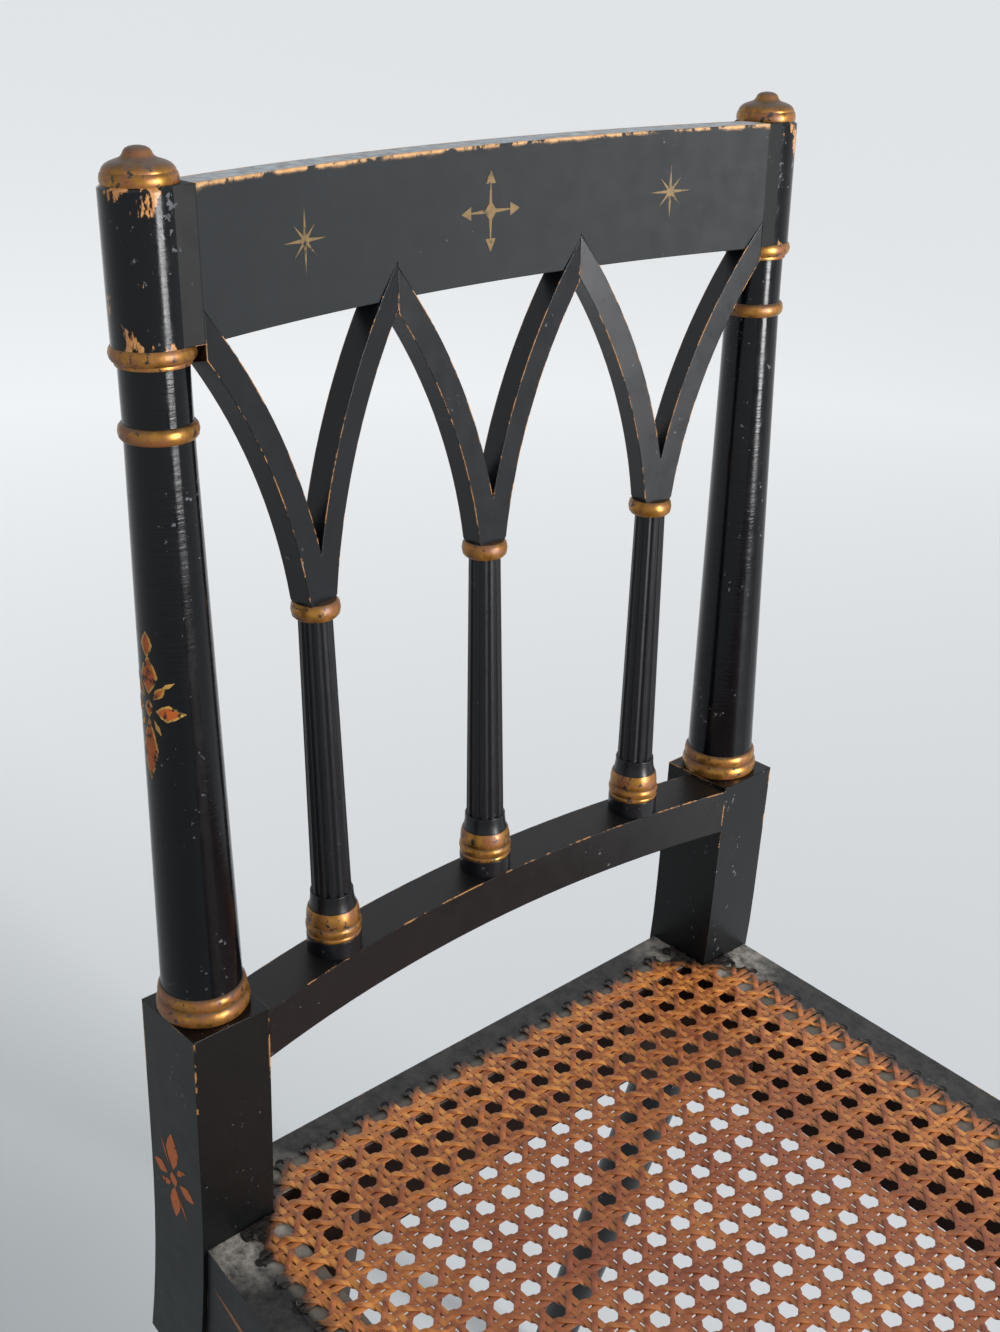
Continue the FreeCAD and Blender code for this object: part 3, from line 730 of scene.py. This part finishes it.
# %% A mark on the wood
FILM = 0.06
UNDER_COAT, ONE_COAT, TOP_COAT = 0.03, 0.05, 0.1


def apply_modifier(piece, kind, **settings):
    """Add a modifier to the active piece, set it and apply it."""
    modifier = piece.modifiers.new(kind.lower(), kind)
    for name, value in settings.items():
        setattr(modifier, name, value)
    bpy.ops.object.modifier_apply(modifier=modifier.name)


def painted_mark(name, strokes, place, target, finish, height, grow=0.0):
    """Lay strokes on a solid as a film of paint, height mm above it."""
    mark = join([stroke(*values, grow) for values in strokes], name)
    mark.matrix_world = place
    apply_modifier(mark, "SHRINKWRAP", wrap_method="PROJECT", use_project_y=True,
                   use_positive_direction=True, use_negative_direction=False,
                   target=nodes[target], offset=height * MM)
    apply_modifier(mark, "SOLIDIFY", thickness=FILM * MM, offset=1.0)
    bpy.ops.object.transform_apply()
    mark.data.materials.append(finish)
    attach(mark, "root")


print("film of paint:", FILM, "mm")

# %% Leaves on the columns, blocks and front rail
COLUMN_LEAVES = [
    ("leaf", 0, 14.2, 15.5, 8.3, 90), ("leaf", -0.6, 27.0, 10.0, 5.2, 92),
    ("leaf", 0, -17.6, 26.5, 8.0, 90), ("leaf", 8.3, -0.4, 8.8, 6.6, -3),
    ("leaf", -7.8, -0.4, 7.8, 6.6, 183), ("leaf", 0, 0.3, 7.0, 4.2, 90),
    ("leaf", 4.9, 7.6, 7.0, 3.0, 52), ("leaf", -4.9, 7.6, 7.0, 3.0, 128),
    ("ray", 8.0, 11.2, 4.6, 1.1, 35), ("ray", -7.6, 11.0, 4.0, 1.1, 145),
    ("ray", 4.2, -7.2, 6.0, 1.2, -62), ("ray", -4.2, -7.2, 6.0, 1.2, 242)]
BLOCK_LEAVES = [
    ("leaf", 0, 16.0, 21.0, 10.0, 91), ("leaf", 0.4, -12.8, 18.0, 8.5, 89),
    ("leaf", 0, 0, 7.8, 6.0, 112), ("leaf", 10.6, -1.2, 12.0, 6.6, -10),
    ("leaf", -10.4, 1.2, 11.0, 6.6, 170), ("leaf", 5.4, 7.2, 6.4, 3.2, 50),
    ("leaf", 8.2, 9.3, 3.6, 1.8, 5), ("leaf", -5.6, -5.0, 6.6, 3.4, 32),
    ("leaf", -8.4, -5.6, 4.0, 2.0, -25), ("ray", -6.2, 13.0, 15.0, 1.3, 114),
    ("ray", 6.6, -13.2, 13.0, 1.4, -60)]
RAIL_LEAF = (34.0, -5.6, 70.0, 4.4, -9.4)
COLUMN_MARK, COLUMN_TURN = 145.0, math.radians(7)
BLOCK_MARK, RAIL_MARK = (473.0, -176.0, 467.0), (446.0, -200.0, 421.3)
IN_FRONT = -40.0
GOLD_GROW, RED_GROW = 0.8, -1.4


def before_face(out, mark):
    """A place before a face that looks to the front. out is -1 on the left, 1 on the right."""
    x, y, z = mark
    return Matrix.Translation(Vector((out * x, y + IN_FRONT, z)) * MM)


for side, out in (("left", -1), ("right", 1)):
    post = f"post_front_{side}"
    on_column = (Matrix.Translation(on_end(side, 0, -POST_SPREAD, COLUMN_MARK))
                 @ Matrix.Rotation(-out * COLUMN_TURN, 4, "Z")
                 @ Matrix.Translation(Vector((0, IN_FRONT, 0)) * MM))
    red = [values for values in COLUMN_LEAVES if values[0] == "leaf"]
    painted_mark(f"gold_leaves_column_{side}", COLUMN_LEAVES, on_column, post, line_paint,
                 UNDER_COAT, GOLD_GROW)
    painted_mark(f"painted_leaves_column_{side}", red, on_column, post, leaf_paint,
                 TOP_COAT, RED_GROW)
    painted_mark(f"painted_leaves_block_{side}", BLOCK_LEAVES, before_face(out, BLOCK_MARK), post,
                 block_paint, ONE_COAT)
    along, up, length, wide, turn = RAIL_LEAF
    rail_stroke = ("leaf", -out * along, up, length, wide, -out * turn)
    painted_mark(f"painted_stroke_rail_{side}", [rail_stroke], before_face(out, RAIL_MARK),
                 "seat_rail_front", stroke_paint, ONE_COAT)
print("leaves on", len(SIDES), "columns and blocks")

# %% Stars and crosses on the crests
STAR = [("ray", 0, 0, 25.0, 1.8, 90), ("ray", 0, 0, 22.5, 1.8, 0), ("ray", 0, 0, 17.0, 1.6, 47),
        ("ray", 0, 0, 17.0, 1.6, 133)]
STAR_MIDDLE = [("leaf", 0, 0, 5.2, 4.6, 75)]
CROSS = [("ray", 0, 0, 32.0, 2.0, 90), ("ray", 0, 0, 31.0, 2.0, 0)]
CROSS_MIDDLE = [("ray", 0, 0, 8.6, 6.8, 90), ("arrow", 0, 12.9, 6.4, 7.2, 0),
                ("arrow", 0, -12.9, 6.4, 7.2, 180), ("arrow", 12.6, 0, 6.4, 7.2, -90),
                ("arrow", -12.6, 0, 6.4, 7.2, 90)]
MARK_HEIGHT, STAR_SPREAD, BEFORE_CREST = 313.0, 100.0, 50.0


def along_crest(star, cross):
    """The strokes of a star, a cross and a star, side by side along a crest."""
    return [(kind, along + spread, up, length, wide, turn)
            for spread, mark in ((-STAR_SPREAD, star), (0.0, cross), (STAR_SPREAD, star))
            for kind, along, up, length, wide, turn in mark]


for side, out in (("left", -1), ("right", 1)):
    place = (Matrix.Translation(on_end(side, BEFORE_CREST, 0, MARK_HEIGHT))
             @ Matrix.Rotation(out * POST_RAKE, 4, "Y")
             @ Matrix.Rotation(-out * math.pi / 2, 4, "Z"))
    for layer, strokes, height in (
            ("rays", along_crest(STAR, CROSS), UNDER_COAT),
            ("middles", along_crest(STAR_MIDDLE, CROSS_MIDDLE), TOP_COAT)):
        painted_mark(f"painted_star_{layer}_{side}", strokes, place, f"crest_rail_{side}",
                     bronze_paint, height)
print("marks on", len(SIDES), "crests")

# %% [markdown]
# ## The cane seat
# Cane is the split bark of rattan: a flat strand about 3 mm wide with a glossy round face. The
# seat is woven six ways: pairs of strands run along the seat and across it and are woven over and
# under each other, and two sets of diagonals are threaded between them, so that eight-sided holes
# are left. One repeat of each strand is drawn with few faces, repeated by the Array modifier, and
# trimmed to the lines of holes in the rails.

# %% Lines of the weave
SEAT_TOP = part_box("seat_rail_back")[1].z
END_LINE, BACK_LINE, STEPS_ALONG = 475.0, 176.075, 59.6
PITCH_ALONG, PITCH_ACROSS = 2 * END_LINE / STEPS_ALONG, 15.875
END_STEP, BACK_STEP = 0.8, 1.5
FIRST_COLUMN = -END_LINE + END_STEP * PITCH_ALONG
FIRST_ROW = BACK_LINE - BACK_STEP * PITCH_ACROSS
ROWS, COLUMNS = 21, 59
BOW_RADIUS, BOW_CENTRE = 4815.9, 4636.97
PAIR_HALF, STRAND_WIDE, STRAND_THICK, CROWN = 2.05, 3.0, 0.7, 0.35
WEAVE_MIDDLE = SEAT_TOP / MM + 1.1
TOUCH, SEAM = 0.01, 0.05


def front_line(x):
    """Where the line of holes in the bowed front rail lies, in mm."""
    return BOW_CENTRE - math.sqrt(BOW_RADIUS ** 2 - x ** 2)


print("front holes from", round(front_line(0), 1), "to", round(front_line(440), 1))

# %% One repeat of a strand
def strand_repeat(name, repeat, lifts, wide=STRAND_WIDE):
    """A flat crowned strip along X, one repeat long, lifted at the places given in mm."""
    bpy.ops.mesh.primitive_plane_add(size=1)
    strip = bpy.context.object
    strip.name = name
    strip.scale = (repeat * MM, wide * MM, 1)
    bpy.ops.object.transform_apply()
    bpy.ops.object.mode_set(mode="EDIT")
    bpy.ops.mesh.select_mode(type="VERT")
    for x in sorted(lifts):
        if abs(x) < repeat / 2 - TOUCH:
            bpy.ops.mesh.select_all(action="SELECT")
            bpy.ops.mesh.bisect(plane_co=(x * MM, 0, 0), plane_no=(1, 0, 0))
    bpy.ops.mesh.select_all(action="SELECT")
    bpy.ops.mesh.bisect(plane_co=(0, 0, 0), plane_no=(0, 1, 0))
    pick(strip, lambda place: abs(place.y) < TOUCH)
    bpy.ops.transform.translate(value=(0, 0, CROWN * MM))
    for x, lift in lifts.items():
        pick(strip, lambda place: abs(place.x - x) < TOUCH)
        bpy.ops.transform.translate(value=(0, 0, lift * MM))
    bpy.ops.object.mode_set(mode="OBJECT")
    return strip


def repeat_along(piece, step, count):
    """Repeat a piece by an applied Array modifier, with its seams merged."""
    select_only(piece)
    apply_modifier(piece, "ARRAY", use_relative_offset=False, use_constant_offset=True,
                   constant_offset_displace=Vector(step) * MM, count=count,
                   use_merge_vertices=True, merge_threshold=SEAM * MM)


def move_to(piece, x, y, turn=0.0):
    """Put a piece at a place of the weave in mm, turned about Z, and fix it in its mesh."""
    select_only(piece)
    piece.location = Vector((x, y, WEAVE_MIDDLE)) * MM
    piece.rotation_euler = (0, 0, turn)
    bpy.ops.object.transform_apply()


print("strand:", STRAND_WIDE, "mm wide,", STRAND_THICK, "mm thick")

# %% Trimming to the rails
FRONT_STEPS = 14
POST_FACE, POST_BACK, POST_FRONT = 449.5, 156.0, -137.9


def trim_planes():
    """Planes that bound the weave: the ends, the back line, and the bow in short chords."""
    planes = [((0, BACK_LINE), (0, 1)), ((END_LINE, 0), (1, 0)), ((-END_LINE, 0), (-1, 0))]
    for step in range(FRONT_STEPS):
        a, b = (-END_LINE + 2 * END_LINE * (step + ahead) / FRONT_STEPS for ahead in (0, 1))
        slope = (front_line(b) - front_line(a)) / (b - a)
        planes.append(((a, front_line(a)), (slope, -1)))
    return planes


def trim(piece):
    """Cut away what lies outside the lines of holes."""
    select_only(piece)
    bpy.ops.object.mode_set(mode="EDIT")
    for (x, y), (nx, ny) in trim_planes():
        bpy.ops.mesh.select_all(action="SELECT")
        bpy.ops.mesh.bisect(plane_co=(x * MM, y * MM, 0), plane_no=(nx, ny, 0), clear_outer=True)
    # The posts stand in the corners: cut along their faces and take out what is left behind them.
    for (x, y), normal in (((POST_FACE, 0), (1, 0, 0)), ((-POST_FACE, 0), (1, 0, 0)),
                           ((0, POST_FRONT), (0, 1, 0)), ((0, POST_BACK), (0, 1, 0))):
        bpy.ops.mesh.select_all(action="SELECT")
        bpy.ops.mesh.bisect(plane_co=(x * MM, y * MM, 0), plane_no=normal)
    pick(piece, lambda place: abs(place.x) > POST_FACE + TOUCH
         and not POST_FRONT - TOUCH < place.y < POST_BACK + TOUCH)
    bpy.ops.mesh.delete(type="VERT")
    bpy.ops.object.mode_set(mode="OBJECT")


print("trim planes:", len(trim_planes()))

# %% Strands along the seat
ROW_LIFT, ROW_RAMP = 0.42, 2.4


def pair_lifts(repeat, first):
    """The over and under of a pair strand where it crosses the two strands of the other pair."""
    lift = ROW_LIFT if first else -ROW_LIFT
    return {-repeat / 2: 0.0, -PAIR_HALF - ROW_RAMP: 0.0, -PAIR_HALF: lift, PAIR_HALF: -lift,
            PAIR_HALF + ROW_RAMP: 0.0, repeat / 2: 0.0}


rows = []
for first, offset in ((True, -PAIR_HALF), (False, PAIR_HALF)):
    strand = strand_repeat("row", PITCH_ALONG, pair_lifts(PITCH_ALONG, first))
    repeat_along(strand, (PITCH_ALONG, 0, 0), COLUMNS + 2)
    move_to(strand, FIRST_COLUMN - PITCH_ALONG, FIRST_ROW + offset)
    repeat_along(strand, (0, -PITCH_ACROSS, 0), ROWS)
    rows.append(strand)
cane_rows = join(rows, "cane_rows")
trim(cane_rows)
print("rows:", len(cane_rows.data.polygons), "faces")

# %% Strands across the seat
columns = []
for first, offset in ((False, -PAIR_HALF), (True, PAIR_HALF)):
    strand = strand_repeat("column", PITCH_ACROSS, pair_lifts(PITCH_ACROSS, first))
    repeat_along(strand, (PITCH_ACROSS, 0, 0), ROWS + 4)
    move_to(strand, FIRST_COLUMN + offset, FIRST_ROW - (ROWS + 1) * PITCH_ACROSS, math.pi / 2)
    repeat_along(strand, (PITCH_ALONG, 0, 0), COLUMNS)
    columns.append(strand)
cane_columns = join(columns, "cane_columns")
trim(cane_columns)
print("columns:", len(cane_columns.data.polygons), "faces")

# %% Diagonal strands
DIAGONAL_WIDE, DIAGONAL_LIFT, DIAGONAL_RAMP, DIAGONAL_COUNT = 2.5, 0.85, 1.3, 26
SPARE_DIAGONALS, ROWS_TO_MIDDLE = 12, 8.5
diagonal_repeat = math.hypot(PITCH_ALONG, PITCH_ACROSS)
diagonal_turn = math.atan2(PITCH_ACROSS, PITCH_ALONG)
quarter = diagonal_repeat / 4
middle_y = FIRST_ROW - ROWS_TO_MIDDLE * PITCH_ACROSS


def diagonal_lifts(lift):
    """Over one set of pairs and under the other: high in the middle of the repeat, low beside."""
    return {-2 * quarter: -lift, -quarter - DIAGONAL_RAMP: -lift, -quarter + DIAGONAL_RAMP: lift,
            quarter - DIAGONAL_RAMP: lift, quarter + DIAGONAL_RAMP: -lift, 2 * quarter: -lift}


diagonals = []
for name, way in (("cane_diagonals_a", 1), ("cane_diagonals_b", -1)):
    strand = strand_repeat("diagonal", diagonal_repeat, diagonal_lifts(way * DIAGONAL_LIFT),
                           wide=DIAGONAL_WIDE)
    repeat_along(strand, (diagonal_repeat, 0, 0), DIAGONAL_COUNT)
    move_to(strand, FIRST_COLUMN - DIAGONAL_COUNT * PITCH_ALONG,
            middle_y - way * PITCH_ACROSS * DIAGONAL_COUNT / 2, way * diagonal_turn)
    repeat_along(strand, (PITCH_ALONG, 0, 0), COLUMNS + DIAGONAL_COUNT + SPARE_DIAGONALS)
    strand.name = name
    trim(strand)
    diagonals.append(strand)
    print(name, len(strand.data.polygons), "faces")

# %% [markdown]
# ## Holes and strand ends
# Every strand ends in a hole of the rails, where the strands of a pair and the diagonals beside
# them come together. The holes are small rings of painted shadow, drawn once and repeated along
# each rail.
# Moving the last points of each strand to the nearest hole and down into it is quicker by the
# points than by hand.

# %% Ends into the holes
GATHER, DIP = 0.3, 2.2
AT_LINE, AT_BOW = 0.05, 0.3


def draw_into_holes(piece):
    """Move the trimmed ends of the strands to the nearest hole and down into it."""
    for point in piece.data.vertices:
        place = point.co / MM
        column = FIRST_COLUMN + PITCH_ALONG * round((place.x - FIRST_COLUMN) / PITCH_ALONG)
        row = FIRST_ROW + PITCH_ACROSS * round((place.y - FIRST_ROW) / PITCH_ACROSS)
        if abs(place.x) > END_LINE - AT_LINE:
            hole = Vector((place.x, row))
        elif place.y > BACK_LINE - AT_LINE:
            hole = Vector((column, BACK_LINE))
        elif place.y < front_line(place.x) + AT_BOW:
            hole = Vector((column, front_line(column)))
        else:
            continue
        gathered = hole + (place.xy - hole) * GATHER
        point.co = Vector((gathered.x, gathered.y, place.z - DIP)) * MM


for piece in (cane_rows, cane_columns, *diagonals):
    draw_into_holes(piece)
print("ends drawn into the holes")

# %% A row of holes
HOLE_RADIUS, HOLE_RIM, HOLE_LIFT = 2.5, 0.5, 0.12
# A hole is a flat ring in near black, painted shadow for the dark inside of it, and dull.
hole_painted_shadow, shader, place = new_finish("drilled_hole_painted_shadow")
set_inputs(shader, {"Base Color": drifting(hole_painted_shadow, place, 2, 3.0, "#050505", "#17120f"),
                    "Roughness": 0.9})


def row_of_holes(x, y, step, count):
    """A row of dark rings of painted shadow along a rail, from a place in mm."""
    bpy.ops.mesh.primitive_circle_add(vertices=10, radius=HOLE_RADIUS * MM, fill_type="NGON",
                                      location=Vector((x, y, SEAT_TOP / MM + HOLE_LIFT)) * MM)
    bpy.ops.object.transform_apply()
    hole = bpy.context.object
    bpy.ops.object.mode_set(mode="EDIT")
    bpy.ops.mesh.select_all(action="SELECT")
    bpy.ops.mesh.inset(thickness=HOLE_RIM * MM)
    bpy.ops.transform.translate(value=(0, 0, -0.5 * HOLE_LIFT * MM))
    bpy.ops.object.mode_set(mode="OBJECT")
    repeat_along(hole, step, count)
    return hole


print("finish:", hole_painted_shadow.name)

# %% Holes in the rails
corner_columns = 2
long_rail_holes = COLUMNS - 2 * corner_columns
row_places = [FIRST_ROW - n * PITCH_ACROSS for n in range(ROWS)]
between_posts = [y for y in row_places if POST_FRONT < y < POST_BACK]
first_x = FIRST_COLUMN + corner_columns * PITCH_ALONG
hole_rows = [row_of_holes(x, between_posts[0], (0, -PITCH_ACROSS, 0), len(between_posts))
             for x in (-END_LINE, END_LINE)]
hole_rows += [row_of_holes(first_x, y, (PITCH_ALONG, 0, 0), long_rail_holes)
              for y in (BACK_LINE, front_line(0))]
front_holes = hole_rows[-1]
bpy.ops.object.mode_set(mode="EDIT")
for n in range(long_rail_holes):
    x = first_x + n * PITCH_ALONG
    pick(front_holes, lambda place: abs(place.x - x) < PITCH_ALONG / 2)
    bpy.ops.transform.translate(value=(0, (front_line(x) - front_line(0)) * MM, 0))
bpy.ops.object.mode_set(mode="OBJECT")
# All rows of rings become one piece of painted shadow for the drilled holes.
holes = join(hole_rows, "painted_shadow_holes")
apply_modifier(holes, "SOLIDIFY", thickness=HOLE_LIFT * MM, offset=-1.0)
holes.data.materials.append(hole_painted_shadow)
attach(holes, "root")
print("holes:", 2 * len(between_posts) + 2 * long_rail_holes)

# %% [markdown]
# ## Cane
# Old cane is honey yellow beside the rails and burnt orange to red brown where light and use have
# darkened it. Its bark is hard and glossy, with fine lines along the strand, and each strand has
# its own tone.

# %% Cane finish
ALONG, ACROSS, WANDER = 0.05, 1.0, 0.012
FRESH_END, FRESH_BACK, FRESH_FRONT = (0.39, 0.435), (0.1, 0.145), (0.07, 0.03)
BLACK_END, BLACK_BACK, BLACK_FRONT = (0.467, 0.473), (0.168, 0.174), (0.009, 0.003)
BLACK_CORNER = (0.589, 0.6)


def cane_finish(name, stretch, light, dark, turn=0.0):
    """Glossy rattan bark. stretch is long along the strand, so each strand keeps its own tone."""
    mat, shader, place = new_finish(name)
    along = add_node(mat, "Mapping", {"Vector": place, "Rotation": (0, 0, turn), "Scale": stretch})
    tone = add_node(mat, "TexNoise", noise_of(along, 3.6, 2.0))
    bark = lay_over(mat, colour(dark), colour(light), [ramp(mat, (tone, 0.32, 0.68))])

    # How near each point is to a rail, with a wandering edge of a few millimetres.
    ragged = add_node(mat, "TexNoise", noise_of(place, 6, 3.0))
    wander = add_node(mat, "Math", (ragged, WANDER, -WANDER / 2), operation="MULTIPLY_ADD")
    back = add_node(mat, "SeparateXYZ", [place]).outputs["Y"]
    behind = behind_bow(mat, place, 0.5 / (BOW_RADIUS * MM), front_line(0) * MM)
    to_end = add_node(mat, "Math", (from_middle(mat, place, "X"), wander), operation="ADD")
    to_back = add_node(mat, "Math", (back, wander), operation="ADD")
    to_front = add_node(mat, "Math", (behind, wander), operation="SUBTRACT")

    # The middle of the seat has darkened, the strands beside the rails are still honey yellow.
    fresh = ramp(mat, (to_end, *FRESH_END), (to_back, *FRESH_BACK), (to_front, *FRESH_FRONT))
    aged = add_node(mat, "Math", (1.0, fresh), operation="SUBTRACT")
    stains = patches(mat, place, 45, 5.0, 0.35, 0.7, low=0.4, high=0.85)
    bark = lay_over(mat, bark, colour("#773b24"), (stains, aged))

    # The black varnish of the rails ran onto the ends of the strands.
    to_corner = add_node(mat, "Math", (to_end, from_middle(mat, place, "Y")), operation="ADD")
    blacked = ramp(mat, (to_end, *BLACK_END), (to_back, *BLACK_BACK),
                   (to_front, *BLACK_FRONT), (to_corner, *BLACK_CORNER))
    bark = lay_over(mat, bark, colour("#1f1a17"), [blacked])
    fibre = add_node(mat, "Bump", {"Strength": 0.25, "Distance": 0.1 * MM, "Height": tone})
    set_inputs(shader, {"Base Color": bark, "Normal": fibre, "Roughness": 0.4})
    return mat


cane_looks = {
    cane_rows: cane_finish("rattan_cane_rows", (ALONG, ACROSS, ACROSS), "#cc8a40", "#8f512a"),
    cane_columns: cane_finish("rattan_cane_columns", (ACROSS, ALONG, ACROSS), "#be7638",
                              "#773c21"),
    diagonals[0]: cane_finish("rattan_cane_diagonals_a", (ALONG, ACROSS, ACROSS), "#c8843d",
                              "#834626", turn=-diagonal_turn),
    diagonals[1]: cane_finish("rattan_cane_diagonals_b", (ALONG, ACROSS, ACROSS), "#af6735",
                              "#6d3620", turn=diagonal_turn),
}
print("cane finishes:", len(cane_looks))

# %% [markdown]
# ## Thickness and sag
# Years of use have stretched the cane, and the seat hangs a few millimetres in the middle. A
# lattice over the opening pulls all four sets down together, so they stay woven.

# %% A hammock for the weave
SAG, HAMMOCK_TALL = 7.0, 0.02
FALL = (0.0, 0.0, 0.85, 1.0, 0.85, 0.0, 0.0)
CANE_SMOOTH = math.radians(50)
opening_low = Vector((-458.0, -150.0, 0.0)) * MM
opening_high = Vector((458.0, 154.0, 0.0)) * MM
bpy.ops.object.add(type="LATTICE",
                   location=(opening_low + opening_high) / 2 + Vector((0, 0, SEAT_TOP)))
hammock = bpy.context.object
hammock.scale = (*(opening_high - opening_low).xy, HAMMOCK_TALL)
count = len(FALL)
hammock.data.points_u, hammock.data.points_v, hammock.data.points_w = count, count, 2
for index, point in enumerate(hammock.data.points):
    u, v = index % count, (index // count) % count
    point.co_deform.z -= SAG * MM * FALL[u] * FALL[v] / hammock.scale.z
print("sag:", SAG, "mm")

# %% Thicken and sag the weave
for piece, finish in cane_looks.items():
    select_only(piece)
    apply_modifier(piece, "SOLIDIFY", thickness=STRAND_THICK * MM, offset=0.0)
    apply_modifier(piece, "LATTICE", object=hammock)
    bpy.ops.object.shade_smooth_by_angle(angle=CANE_SMOOTH)
    piece.data.materials.clear()
    piece.data.materials.append(finish)
    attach(piece, "root")
    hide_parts("cane_panel")
    print(piece.name, sum(len(face.vertices) - 2 for face in piece.data.polygons), "triangles")
remove(hammock)

# %% [markdown]
# ## Floor and light
# The seat stands on a pale studio floor that is greyer in front and fades to white far behind,
# where it takes the place of a wall and glows a little, only for the eye. One tall soft light
# stands to the right and draws the upright highlights on the columns, and a wide one hangs above.
# The world fills the shadows.

# %% Floor
FLOOR_SIZE, NEAR_FLOOR, FAR_FLOOR = 60, 0.9, 3.0
FLOOR_BEHIND, FLOOR_IN_FRONT, FAR_GLOW = 0.35, -0.35, 0.14


def seen_directly(owner):
    """1 for what the camera or a reflection looks at, 0 for light on its way to a dull surface."""
    rays = add_node(owner, "LightPath").outputs
    seen = rays["Is Camera Ray"]
    for kind in ("Is Glossy Ray", "Is Transmission Ray"):
        seen = add_node(owner, "Math", (seen, rays[kind]), operation="MAXIMUM")
    return seen


bpy.ops.mesh.primitive_plane_add(size=FLOOR_SIZE)
floor = bpy.context.object
floor.name = "studio_floor"
floor_finish, shader, place = new_finish("painted_floor_matt")
away = add_node(floor_finish, "VectorMath", [place], operation="LENGTH").outputs["Value"]
back = add_node(floor_finish, "SeparateXYZ", [place]).outputs["Y"]
far = ramp(floor_finish, (away, NEAR_FLOOR, FAR_FLOOR))
in_front = ramp(floor_finish, (back, FLOOR_BEHIND, FLOOR_IN_FRONT))
paint = lay_over(floor_finish, colour("#c3c6c8"), colour("#9ea5a6"), [in_front])
paint = lay_over(floor_finish, paint, colour("#f0f2f2"), [far])
glow = add_node(floor_finish, "Math", (seen_directly(floor_finish), far), operation="MULTIPLY")
glow = add_node(floor_finish, "Math", (glow, FAR_GLOW), operation="MULTIPLY")
set_inputs(shader, {"Base Color": paint, "Emission Color": colour("#ffffff"),
                    "Emission Strength": glow, "Roughness": 0.9})
floor.data.materials.append(floor_finish)
print("finish:", floor_finish.name)

# %% Lights
LIGHTING_WORLD, SEEN_WORLD = 0.85, 0.92


def soft_light(name, place, aim, wide, tall, power, spread=180):
    """A rectangular soft box that looks at a point. It doesn't show itself to the camera."""
    bpy.ops.object.light_add(type="AREA", location=place)
    light = bpy.context.object
    light.name = name
    light.data.shape = "RECTANGLE"
    light.data.size, light.data.size_y = wide, tall
    light.data.energy = power
    light.data.spread = math.radians(spread)
    light.rotation_euler = (Vector(aim) - Vector(place)).to_track_quat("-Z", "Y").to_euler()
    light.visible_camera = False


soft_light("tall_window", place=(2.6, 0.7, 1.1), aim=(-0.4, 0.0, 0.7), wide=0.85, tall=2.0,
           power=46, spread=80)
soft_light("ceiling", place=(-0.6, 0.4, 3.2), aim=(-0.4, 0.2, 0.4), wide=3.0, tall=3.0, power=12)
world = bpy.data.worlds.new("studio")
bpy.context.scene.world = world
world.use_nodes = True
strength = add_node(world, "Math", (
    seen_directly(world), SEEN_WORLD - LIGHTING_WORLD, LIGHTING_WORLD), operation="MULTIPLY_ADD")
set_inputs(world.node_tree.nodes["Background"], {"Color": colour("#e9ebee"), "Strength": strength})
bpy.context.scene.view_settings.view_transform = "Standard"
